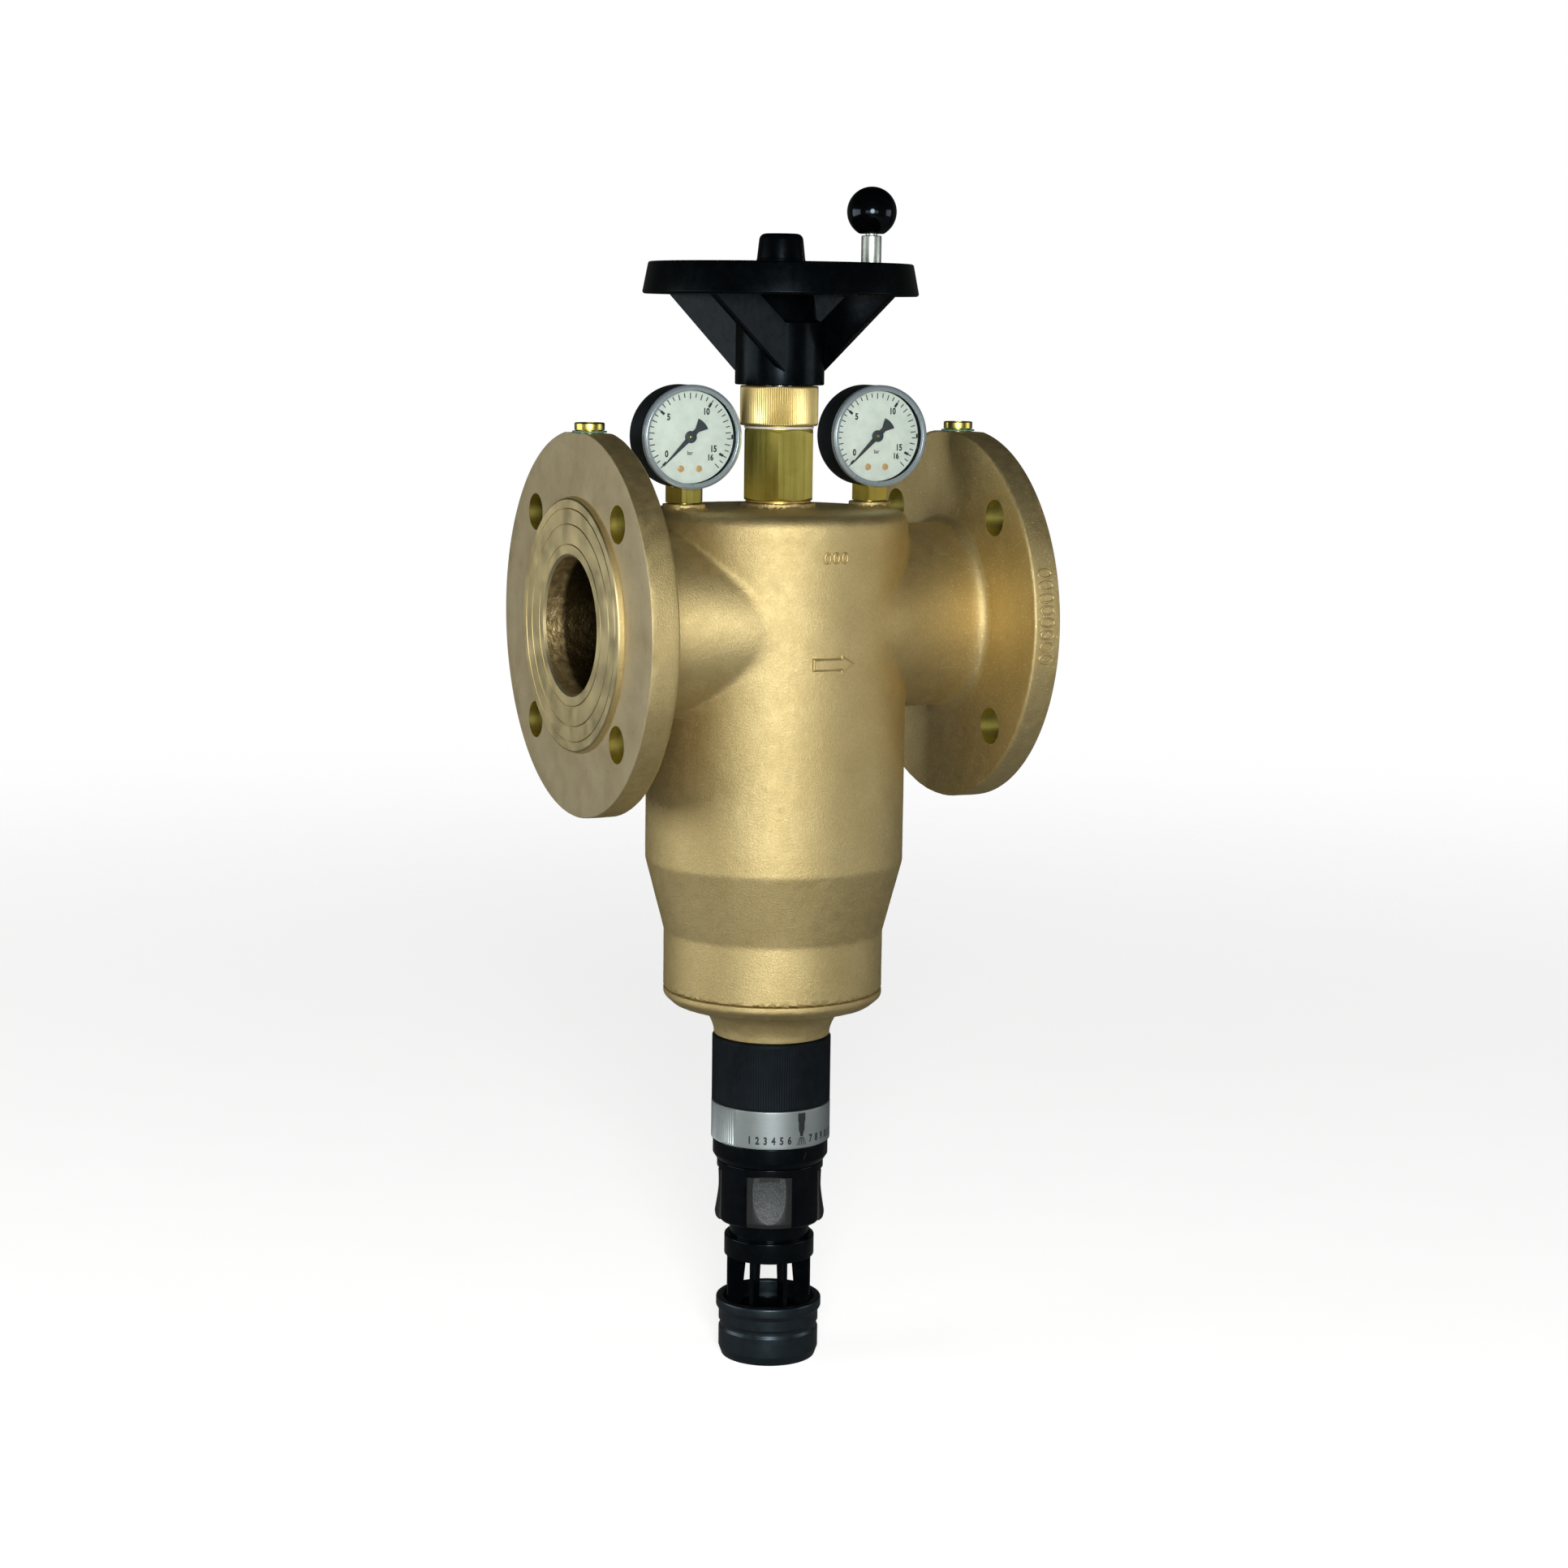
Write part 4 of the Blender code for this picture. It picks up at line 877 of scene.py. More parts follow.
def body_casting():
    mesh = combine(casting_skin(), "UNION", flange_mesh(-1), flange_mesh(1))
    mesh = combine(mesh, "DIFFERENCE", cavity_mesh(), bore_mesh(1, 45))
    sieve_wall = drum_mesh(42.5, (0, 0, -60), (0, 0, 50), 96)
    inlet_tunnel = drum_mesh(37, (-61, 0, 0), (-10, 0, 0), 96)
    gauge_post = drum_mesh(7.5, (-GAUGE_OFFSET, 0, 30), (-GAUGE_OFFSET, 0, 49), 32)
    walls = [with_finish(wall, SHADOWED_BORE) for wall in (sieve_wall, inlet_tunnel, gauge_post)]
    mesh = combine(mesh, "UNION", *walls)
    chamber = with_finish(drum_mesh(38, (0, 0, -61), (0, 0, 46), 96), SHADOWED_BORE)
    mesh = combine(mesh, "DIFFERENCE", chamber, bore_mesh(-1, 5))
    fills = (add_bolt_holes, add_drillings, add_spot_faces)
    tools = [with_finish(shaped(fill.__name__, fill), DRILLED) for fill in fills]
    flats = with_finish(shaped("flats", add_flats), FACED)
    mesh = combine(mesh, "DIFFERENCE", *tools, flats)
    piece("body_casting_fine", mesh, None, "body", ("body_casting",))


def around(angle, radius, height):
    """A point on a cylinder about Z, from its angle in degrees."""
    turn = math.radians(angle)
    return Vector((radius * math.cos(turn), radius * math.sin(turn), height))


def tube_mesh(name, path, radius, sides=10, closed=False):
    """A round wire along points in millimetres."""
    curve = bpy.data.curves.new(name, "CURVE")
    curve.dimensions = "3D"
    curve.bevel_depth = radius
    curve.bevel_resolution = sides // 4
    curve.use_fill_caps = True
    line = curve.splines.new("POLY")
    line.points.add(len(path) - 1)
    for point, place in zip(line.points, path):
        point.co = (*place, 1)
    line.use_cyclic_u = closed
    shape = bmesh.new()
    shape.from_mesh(evaluated(new_object(name, curve)))
    bmesh.ops.remove_doubles(shape, verts=shape.verts, dist=1e-4)
    bmesh.ops.recalc_face_normals(shape, faces=shape.faces)
    return finished(name, shape)


def relief_mesh(outline, angle, height, rise):
    """A raised shape on the front of the body, from its flat outline."""
    sunk = 0.6
    flat = flat_slab("relief", outline, rise + sunk, 0.25)
    mesh = wrapped(flat, angle, height, BODY_RADIUS + (rise - sunk) / 2)
    move_points(mesh, on_casting(points_of(mesh)))
    shade(mesh, 60)
    return mesh


def on_casting(points):
    """Points drawn on a plain barrel, moved out to the real skin of the body."""
    reach = np.hypot(points[:, 0], points[:, 1])[:, None]
    level = points * np.where([True, True, False], BODY_RADIUS / reach, 1.0)
    level = onto_surface(level, 6)
    return level + gradient(level) * (reach - BODY_RADIUS)


def flow_arrow():
    """The raised arrow cast on the front of the body, pointing with the flow."""
    arrow = [(-10.4, -2.5), (4.0, -2.5), (4.0, -4.1), (10.4, 0.0), (4.0, 4.1), (4.0, 2.5), (-10.4, 2.5)]
    edge = []
    for x, y in arrow:
        angle = ARROW_ANGLE + math.degrees(x / BODY_RADIUS)
        edge.append(around(angle, BODY_RADIUS + 0.2, y + ARROW_HEIGHT))
    edge = tube_mesh("arrow_edge", edge, 0.95, closed=True)
    move_points(edge, on_casting(points_of(edge)))
    pad = relief_mesh(arrow, ARROW_ANGLE, ARROW_HEIGHT, 0.5)
    mesh = roughen(joined_mesh("flow_arrow", [pad, edge]), 1.6, 0.10)
    piece("flow_arrow", mesh, CAST, "body")


def ring_wire(point_at, wire):
    """A closed wire. point_at(across, up) gives a point, with both values from -1 to 1."""
    turns = [math.tau * i / 16 for i in range(16)]
    return tube_mesh("ring", [point_at(math.cos(t), math.sin(t)) for t in turns], wire, closed=True)


def cast_rings():
    """Three small rings above the arrow."""

    def point_at(across, up):
        return around(middle + 1.25 * across, BODY_RADIUS, CAST_RINGS_HEIGHT + 2.2 * up)

    rings = []
    for number in range(3):
        middle = CAST_RINGS_ANGLE + CAST_RINGS_STEP * number
        rings.append(ring_wire(point_at, 0.75))
    mesh = joined_mesh("cast_rings", rings)
    move_points(mesh, on_casting(points_of(mesh)))
    piece("cast_rings", roughen(mesh, 1.4, 0.06), CAST, "body")


def rim_marks():
    """A row of small raised rings cast on the rim of the outlet flange."""

    def point_at(across, up):
        lift = (middle + 2.1 * across) / FLANGE_RADIUS
        y, z = -FLANGE_RADIUS * math.cos(lift), FLANGE_RADIUS * math.sin(lift)
        return (FLANGE_MIDDLE + 3.6 * up, y, z)

    rings = []
    for number in range(8):
        middle = 27.0 - 5.9 * number
        rings.append(ring_wire(point_at, 0.65))
    mesh = roughen(joined_mesh("rim_marks", rings), 1.4, 0.06)
    piece("rim_marks", mesh, CAST, "body")


def test_plugs():
    """A brass plug with a hexagonal socket, on a green seal, in the top of each flange."""
    for name, side in (("inlet", -1), ("outlet", 1)):
        place = Matrix.Translation((side * FLANGE_MIDDLE, 0, 0))
        seal = [(8.3, 92.5, 0.25), (8.3, 91.7, 0.25), (5.6, 91.7), (5.6, 92.5)]
        lathe(f"{name}_plug_seal", seal, GREEN_SEAL, slot="green_seal", place=place, steps=SMALL)
        head = [
            (0, 96.4), (7.2, 96.4, 0.6), (7.2, 92.8, 0.3), (5.0, 92.8), (5.0, 80.0), (0, 80.0),
        ]
        mesh = turned_mesh("plug", head, steps=SMALL, loop=False, place=place)
        mesh = combine(mesh, "DIFFERENCE", drum_mesh(3.2, (0, 0, 94.2), (0, 0, 97), 6, place))
        piece(f"{name}_test_plug_fine", mesh, BRASS_TURNED, "body", (f"{name}_test_plug",))


def bottom_cover():
    """The ring under the casting, with the spigot that takes the drain."""
    spigot = 47.6
    top = BODY_BOTTOM - 0.3
    outline = [
        (20, -152), (20, -181), (44, -181), (44, -172), (spigot, -172, 0.4), (spigot, -176.6),
        (spigot - 2, -176.6), (spigot - 2, -180.4), (spigot, -180.4), (spigot, top),
        (LOWER_RADIUS, top, 0.6), (LOWER_RADIUS, -187.6, 3.0), (49.6, -191.8, 6.0),
        (37.5, -194.0, 5.0),
        *arc((47.0, -209.0), 18.0, 140, 176, 8),
        (29.0, -207.9, 0.4), (26.0, -207.9), (26.0, -226.0), (12.0, -226.0), (12.0, -207.8),
        (15.0, -207.8), (15.0, -166.0), (10.3, -166.0), (10.3, -152.0),
    ]
    mesh = turned_mesh("cover", outline, steps=160)
    points = points_of(mesh)
    height = points[:, 2]
    outside = (height < BODY_BOTTOM - 1) & (height > -207) & (np.hypot(points[:, 0], points[:, 1]) > 28)
    raise_points(mesh, points, np.where(outside, grain(points, 3.0, 0.12) + grain(points, 15.0, 0.12), 0))
    mesh = combine(mesh, "DIFFERENCE", shaped("key_grooves", add_key_grooves))
    piece("bottom_cover_fine", mesh, CAST, "body", ("bottom_cover",))


def add_key_grooves(shape):
    for third in range(3):
        add_box(shape, (13, -1.9, -202.7), (17.2, 1.9, -167), math.tau * third / 3)


# ---------------------------------------------------------------- bonnet and gland


def hexagonal(across_flats, turn):
    """A radius rule that pulls a turned outline in to a hexagon with eased corners."""
    corner = across_flats / math.sqrt(3) * 0.998

    def radius_at(angle, radius, height):
        off = (angle - turn + math.pi / 6) % (math.pi / 3) - math.pi / 6
        return min(radius, corner, across_flats / 2 / math.cos(math.pi / 6 - abs(off)))

    return radius_at


def hex_mesh(across_flats, bottom, top, turn=0.0, chamfer=1.0, place=None):
    """A hexagonal bar whose corners are turned off at both ends."""
    corner = across_flats / math.sqrt(3)
    flat = across_flats / 2 * 0.985
    rows = 10
    ends = [(flat + (corner - flat) * i / rows, chamfer * i / rows) for i in range(rows + 1)]
    outline = [(0, top)] + [(r, top - drop) for r, drop in ends]
    outline += [(r, bottom + drop) for r, drop in reversed(ends)] + [(0, bottom)]
    rule = hexagonal(across_flats, turn)
    return turned_mesh("hexagon", outline, steps=192, loop=False, place=place, widen=rule)


def bonnet():
    hexagon = hex_mesh(33.4, 58.5, 93.0, math.radians(4), 1.6)
    thread = [(0, 103.0), (15.4, 103.0, 0.5), (15.4, 90.0), (13.4, 90.0), (13.4, 40.0, 0.5), (0, 40.0)]
    mesh = combine(hexagon, "UNION", turned_mesh("thread", thread, steps=SMALL, loop=False))
    mesh = combine(mesh, "DIFFERENCE", drum_mesh(8.3, (0, 0, 39), (0, 0, 104)))
    piece("bonnet_fine", mesh, BRASS, "body", ("bonnet",))
    gasket = [(16.0, 58.2, 0.15), (16.0, 57.8, 0.15), (13.9, 57.8), (13.9, 58.2)]
    lathe("bonnet_gasket", gasket, COPPER, slot="brass")
    ring = [(17.0, 94.4, 0.3), (17.0, 93.3, 0.3), (15.7, 93.3), (15.7, 94.4)]
    lathe("gland_ring", ring, WHITE_SEAL, slot="white_seal")
    packing = [(15.2, 108.1, 0.4), (15.2, 103.3, 0.4), (8.3, 103.3, 0.4), (8.3, 108.1, 0.4)]
    lathe("stem_packing", packing, RUBBER, slot="rubber")


def ribbed(count, depth, low, high, inner):
    """A radius rule that sinks straight grooves into what lies outside a radius, between two heights."""

    def radius_at(angle, radius, height):
        if radius < inner:
            return radius
        share = max(0.0, min(1.0, min(height - low, high - height) / 0.6))
        return radius - depth * share * (0.5 - 0.5 * math.cos(count * angle))

    return radius_at


def gland_nut():
    ribs = 104
    outline = [
        (18.7, 113.9, 0.2), (19.1, 113.4, 0.2), (19.1, 112.8), (19.1, 96.2), (19.1, 95.4, 0.2),
        (18.5, 94.7, 0.2), (15.8, 94.7), (15.8, 108.4), (8.4, 108.4), (8.4, 113.5, 0.3),
    ]

    rule = ribbed(ribs, 0.5, 95.6, 113.3, 18.9)
    lathe("gland_nut", outline, BRASS_KNURLED, slot="brass", steps=6 * ribs, widen=rule)


# ---------------------------------------------------------------- spindle and handwheel


def spindle():
    outline = [
        (0, 159.7), (7.9, 159.7, 0.5), (7.9, -55.7), (7.1, -55.7), (7.1, -72.0), (0, -72.0),
    ]
    mesh = turned_mesh("spindle", outline, steps=SMALL, loop=False)

    def add_cuts(shape):
        for side in (-1, 1):
            near, far = sorted((side * 6.3, side * 10))
            add_box(shape, (-10, near, 124), (10, far, 161))

    screw_hole = drum_mesh(4.3, (0, 0, 146), (0, 0, 161), 32)
    mesh = combine(mesh, "DIFFERENCE", shaped("flats", add_cuts), screw_hole)
    piece("spindle_fine", mesh, STEEL, "spindle", ("spindle",))
    tube = [(9.9, -56.0, 0.3), (9.9, -197.2), (3.2, -197.2), (3.2, -193.6), (7.5, -193.6), (7.5, -56.0)]
    mesh = turned_mesh("suction_tube", tube, steps=SMALL)
    mesh = combine(mesh, "DIFFERENCE", shaped("tube_openings", add_tube_openings))
    piece("suction_tube_fine", mesh, STEEL, "spindle", ("suction_tube",))


def add_tube_openings(shape):
    add_box(shape, (-12, -3, -190), (12, 3, -182))
    for number in range(4):
        angle = math.tau * number / 4
        z = -141.5 + 19.5 * number
        far = (12 * math.cos(angle), 12 * math.sin(angle), z)
        near = (5 * math.cos(angle), 5 * math.sin(angle), z)
        add_drum(shape, 2.4, near, far, 24)


def web_meshes():
    """Four webs, each in a vertical plane, swept back from the hub to the rim."""
    start = Vector((20.7, 0))
    end = Vector((64.0 * math.cos(WEB_SWEEP), 64.0 * math.sin(WEB_SWEEP)))
    length = (end - start).length
    top = 171.35
    outline = [
        (-3.0, 119.6), (0, 121.0), (length, 158.5), (length, top - 4.0), (length - 3.0, top),
        (length * 0.72, top), (0, 144.5), (-3.0, 142.3),
    ]
    direction = math.atan2(end.y - start.y, end.x - start.x)
    stand = Matrix.Rotation(direction, 4, "Z") @ Matrix.Rotation(math.pi / 2, 4, "X")
    for number in range(4):
        turn = Matrix.Rotation(WEB_START + math.tau * number / 4, 4, "Z")
        place = turn @ Matrix.Translation((start.x, start.y, 0)) @ stand
        yield slab_mesh("web", outline, 4.2, 0.5, place)


def crank_place():
    return CRANK_RADIUS * math.cos(CRANK_ANGLE), CRANK_RADIUS * math.sin(CRANK_ANGLE)


def handwheel():
    outline = [
        (64.3, 173.0, 1.2), (67.2, 158.4, 0.8), (66.3, 157.5, 0.6), (64.4, 157.5, 0.5),
        (61.5, 169.7, 1.5), (13.6, 169.7, 2.0), (18.6, 145.0, 1.5), (21.8, 145.0, 0.8),
        (21.8, 114.4, 0.7), (19.6, 114.4, 0.4), (19.6, 126.0), (4.3, 126.0), (4.3, 164.0),
        (9.5, 164.0), (9.5, 173.0, 0.3),
    ]
    mesh = turned_mesh("handwheel", outline, steps=160)
    mesh = combine(mesh, "UNION", *web_meshes())
    spindle_bore = drum_mesh(8.2, (0, 0, 125), (0, 0, 160))
    x, y = crank_place()
    pin_hole = drum_mesh(4.2, (x, y, 165), (x, y, 175), 32)
    mesh = combine(mesh, "DIFFERENCE", spindle_bore, pin_hole)
    piece("handwheel_fine", mesh, WHEEL, "spindle", ("handwheel",))


def wheel_fittings():
    cap = [
        (0, 187.0), (10.4, 187.0, 3.2), (11.7, 175.2, 2.0), (12.1, 173.3, 0.3), (9.2, 173.3),
        (9.2, 170.6), (8.0, 170.6), (8.0, 178.0), (0, 178.0),
    ]
    lathe("wheel_cap", cap, WHEEL, "spindle", "black_gloss", loop=False)
    place = Matrix.Translation((*crank_place(), 0))
    pin = [
        (0, 202.0), (2.9, 202.0), (2.9, 187.4), (5.0, 187.4, 0.5), (5.0, 173.3, 0.4), (3.9, 173.3),
        (3.9, 166.0, 0.3), (0, 166.0),
    ]
    lathe("crank_pin", pin, PIN, "spindle", "chrome", loop=False, place=place, steps=SMALL)
    flat = 199.0 - 10.7
    flat_angle = math.degrees(math.asin((flat - 199.0) / 12.3))
    ball = [(0, 199.0 + 12.3)] + arc((0, 199.0), 12.3, 90, flat_angle, 40)[1:]
    ball += [(3.3, flat), (3.3, 203.5), (0, 203.5)]
    lathe("ball_knob", ball, BALL, "ball_knob", "black_gloss", loop=False, place=place)


# ---------------------------------------------------------------- gauges


def text_mesh(text, height, width_share, weight=0.055):
    """A word or number, centred on its own XY plane, this many millimetres tall."""
    curve = bpy.data.curves.new("text", "FONT")
    curve.body = text
    curve.align_x = "CENTER"
    curve.align_y = "CENTER"
    curve.size = height * 1.38
    curve.extrude = PRINT_THICKNESS / 2
    curve.offset = height * weight
    curve.resolution_u = 4
    mesh = evaluated(new_object("text", curve))
    mesh.transform(Matrix.Diagonal((width_share, 1, 1, 1)))
    return mesh


def dial_angle(bar):
    """Where a pressure stands on the dial, which runs clockwise from 0 to 16 bar over 270 degrees."""
    return math.radians(225 - 270 * bar / 16)


def add_ticks(shape):
    low, high = 7.75, 7.86
    for half_bar in range(33):
        bar = half_bar / 2
        angle = dial_angle(bar)
        inner = 18.9 if half_bar % 2 else 18.2
        width = 0.24
        add_box(shape, (inner, -width, low), (21.0, width, high), angle)
        if bar in (0, 5, 10, 15):
            add_box(shape, (17.0, -0.62, low), (19.3, 0.62, high + 0.02), angle, 0.05)
    for side in (-1, 1):
        near, far = sorted((side * 21.1, side * 22.0))
        add_box(shape, (near, -1.2, low), (far, 1.2, high + 0.3), 0.0, 0.25)


DIAL_WORDS = (
    # what, height, right of the centre, above the centre
    ("0", 3.1, -11.9, -8.2),
    ("5", 3.1, -11.0, 9.4),
    ("10", 3.1, 8.2, 12.0),
    ("15", 3.1, 12.0, -5.8),
    ("16", 2.8, 10.4, -10.0),
    ("bar", 2.0, 0.0, -7.7),
)


def gauge_matrix(joint):
    """The gauge's own frame: X right, Y up and Z forwards, on the pointer's axis."""
    place = (Vector(joint["pos_m"]) - PORT) / MM
    forwards = -Vector(joint["axis"]).normalized()
    up = Vector((0, 0, 1))
    right = up.cross(forwards)
    turn = Matrix((right, up, forwards)).transposed().to_4x4()
    return Matrix.Translation(place) @ turn


def pointer_mesh(place):
    """A needle with a round boss and a fan-shaped tail, at rest on 0 bar."""
    fan = [math.radians(180 - 21 + 42 * i / 8) for i in range(9)]
    outline = [(18.0, -0.25), (18.0, 0.25), (3.0, 1.1), (0, 1.4), (-4.6, 1.2)]
    outline += [(9.6 * math.cos(a), 9.6 * math.sin(a)) for a in fan]
    outline += [(-4.6, -1.2), (0, -1.4), (3.0, -1.1)]
    at_rest = place @ Matrix.Rotation(dial_angle(0), 4, "Z")
    blade = slab_mesh("blade", outline, 0.5, 0.0, at_rest @ Matrix.Translation((0, 0, 8.9)))
    boss = [(0, 9.6), (2.9, 9.6, 0.3), (2.9, 8.5), (1.2, 8.5), (1.2, 0.4), (0, 0.4)]
    boss = turned_mesh("boss", boss, steps=48, loop=False, place=at_rest)
    return combine(blade, "UNION", boss)


def gauge(side, name):
    pointer = f"{side}_pointer"
    place = gauge_matrix(JOINTS[f"{pointer}_turn"])
    case = [
        (0, -9.7), (22.6, -9.7), (22.6, 8.7), (24.8, 8.7, 0.5), (24.8, -9.7, 1.6),
        (22.4, -11.5, 1.2), (0, -11.5),
    ]
    mesh = turned_mesh("case", case, loop=False, place=place)
    mesh = combine(mesh, "DIFFERENCE", drum_mesh(5.9, (0, -19, 0), (0, -27, 0), 48, place))
    piece(f"{name}_case_fine", mesh, CASE, "body", (f"{name}_case",))
    bezel = [
        (23.8, 13.0, 0.5), (25.0, 12.2, 0.6), (25.0, 10.9, 0.3), (24.7, 10.6, 0.2),
        (25.0, 10.3, 0.3), (25.0, 9.0, 0.3), (24.5, 9.0), (24.5, 11.2), (22.2, 11.2, 0.2),
        (22.6, 13.0, 0.4),
    ]
    lathe(f"{name}_bezel", bezel, BEZEL, slot="chrome", place=place)
    lens = [(0, 10.8), (24.1, 10.8, 0.2), (24.1, 9.9, 0.2), (0, 9.9)]
    lathe(f"{name}_lens", lens, LENS, slot="clear_lens", loop=False, place=place)
    dial = [(22.2, 7.8, 0.1), (22.2, 7.0), (1.7, 7.0), (1.7, 7.8)]
    lathe(f"{name}_dial", dial, DIAL, slot="dial_face", place=place)
    marks = [shaped("ticks", add_ticks, place)]
    for words, height, x, y in DIAL_WORDS:
        word = text_mesh(words, height, 0.8, 0.02 if words == "bar" else 0.055)
        word.transform(TO_WORLD @ place @ Matrix.Translation((x, y, 7.82)))
        marks.append(word)
    piece(f"{name}_print", joined_mesh("print", marks), PRINT, "body")
    heads = []
    for offset in (-4.6, 4.6):
        head = [(0, 8.3), (1.6, 8.3, 0.4), (1.6, 7.75), (0, 7.75)]
        spot = place @ Matrix.Translation((offset, -15.2, 0))
        head = turned_mesh("head", head, steps=32, loop=False, place=spot)
        heads.append(combine(head, "DIFFERENCE", box_mesh((-2, -0.2, 8.05), (2, 0.2, 9), spot)))
    piece(f"{name}_dial_screws", joined_mesh("dial_screws", heads), COPPER, "body")
    stands_for = (f"{name}_pointer",)
    piece(f"{name}_pointer_fine", pointer_mesh(place), NEEDLE, pointer, stands_for)
    pivot = [(0, 9.8), (0.7, 9.75, 0.2), (0.7, 9.4), (0, 9.4)]
    pivot = turned_mesh("pivot", pivot, steps=24, loop=False, place=place)
    piece(f"{name}_pivot", pivot, BRASS_TURNED, pointer)
    bend = [math.radians(-78 + 258 * i / 40) for i in range(41)]
    path = [place @ Vector((15 * math.cos(a), 15 * math.sin(a), -2.0)) for a in bend]
    tube = tube_mesh("bourdon_tube", path, 1.6, 16)
    piece(f"{name}_bourdon_tube_fine", tube, BRASS_TURNED, "body", (f"{name}_bourdon_tube",))
    gauge_socket(name, place)


def gauge_socket(name, gauge_place):
    spot = Matrix.Translation((gauge_place.translation.x, 0, 0))
    hexagon = hex_mesh(17.0, 57.8, 66.4, 0.0, 0.5, spot)
    hexagon = combine(hexagon, "DIFFERENCE", drum_mesh(25.2, (0, 0, -20), (0, 0, 20), 96, gauge_place))
    stem = [(0, 70.0), (5.3, 70.0, 0.3), (5.3, 60.0), (4.1, 60.0), (4.1, 48.0, 0.4), (0, 48.0)]
    stem = turned_mesh("stem", stem, steps=48, loop=False, place=spot)
    mesh = combine(hexagon, "UNION", stem)
    mesh = combine(mesh, "DIFFERENCE", drum_mesh(1.5, (0, 0, 47), (0, 0, 71), 24, spot))
    piece(f"{name}_socket_fine", mesh, BRASS, "body", (f"{name}_socket",))


# ---------------------------------------------------------------- drain


def union_sleeve():
    ribs, radius = 150, SLEEVE_RADIUS
    outline = [
        (28.8, -208.5, 0.4), (radius, -209.5, 0.4), (radius, -210.8), (radius, -240.6),
        (radius, -242.1, 0.3), (23.7, -242.1), (23.7, -232.3), (26.5, -232.3), (26.5, -208.5),
    ]

    rule = ribbed(ribs, 0.22, -241.4, -210.0, 29.5)
    lathe("union_sleeve", outline, SATIN, slot="charcoal_satin", steps=6 * ribs, widen=rule)
    gasket = [(25.8, -226.3, 0.4), (25.8, -228.8, 0.4), (16.2, -228.8, 0.4), (16.2, -226.3, 0.4)]
    lathe("sleeve_gasket", gasket, RUBBER, slot="rubber")


def wrapped(mesh, angle, height, radius):
    """Lays a flat mesh, drawn in millimetres, on a cylinder about Z, reading from outside.

    It is cut into upright strips first, so that it bends.
    """
    shape = bmesh.new()
    shape.from_mesh(mesh)
    reach = max(abs(vert.co.x) for vert in shape.verts)
    for step in range(int(2 * reach / STRIP_WIDTH)):
        place = (-reach + (step + 0.5) * STRIP_WIDTH, 0, 0)
        geometry = shape.verts[:] + shape.edges[:] + shape.faces[:]
        bmesh.ops.bisect_plane(shape, geom=geometry, plane_co=place, plane_no=(1, 0, 0))
    shape.to_mesh(mesh)
    shape.free()
    x, y, z = vectors_of(mesh.vertices, "co").T
    turn = math.radians(angle) + x / radius
    reach = radius + z
    move_points(mesh, np.stack([reach * np.cos(turn), reach * np.sin(turn), height + y], 1))
    return mesh


def nozzle_outlines():
    """The pictogram of a hose nozzle spraying downwards."""
    right = [(2.0, 6.3), (2.1, 5.9), (2.1, 2.4), (1.75, 1.9), (1.65, -2.2), (0.9, -4.2), (0.8, -5.5)]
    yield right[::-1] + [(-x, y) for x, y in right]
    for lean in (-2.5, -1.25, 0.0, 1.25, 2.5):
        near, far = lean * 0.4, lean
        yield [(far - 0.19, -10.0), (far + 0.19, -10.0), (near + 0.19, -5.9), (near - 0.19, -5.9)]


def month_ring():
    """The reminder ring: grip ridges at the back and left, month numbers at the front and right."""
    ridges_from, ridges_to, count = math.radians(60), math.radians(209), 120

    def radius_at(angle, radius, height):
        if radius < 29.5 or not ridges_from < angle < ridges_to:
            return radius
        edge = min(angle - ridges_from, ridges_to - angle, 0.05) / 0.05
        inside = max(0.0, min(1.0, min(height + 261.3, -242.6 - height) / 0.5))
        return radius - 0.75 * edge * inside * (0.5 - 0.5 * math.cos(count * angle)) ** 1.5

    outline = [
        (RING_RADIUS, -242.4, 0.3), (RING_RADIUS, -243.6), (RING_RADIUS, -260.3),
        (RING_RADIUS, -261.5, 0.3), (24.0, -261.5), (24.0, -242.4),
    ]
    lathe("month_ring", outline, ALUMINIUM, "month_ring", "aluminium_satin", steps=720, widen=radius_at)
    marks = []
    for month in range(1, 13):
        first = FIRST_MONTHS_ANGLE if month < 7 else LAST_MONTHS_ANGLE
        angle = first + MONTH_STEP * ((month - 1) % 6)
        digits = text_mesh(str(month), 3.8, 0.76 if month < 10 else 0.58)
        marks.append(wrapped(digits, angle, -257.2, RING_RADIUS))
    for outline in nozzle_outlines():
        nozzle = flat_slab("nozzle", outline, PRINT_THICKNESS)
        marks.append(wrapped(nozzle, PICTOGRAM_ANGLE, -249.8, RING_RADIUS))
    piece("month_ring_print", joined_mesh("month_print", marks), PRINT, "month_ring")


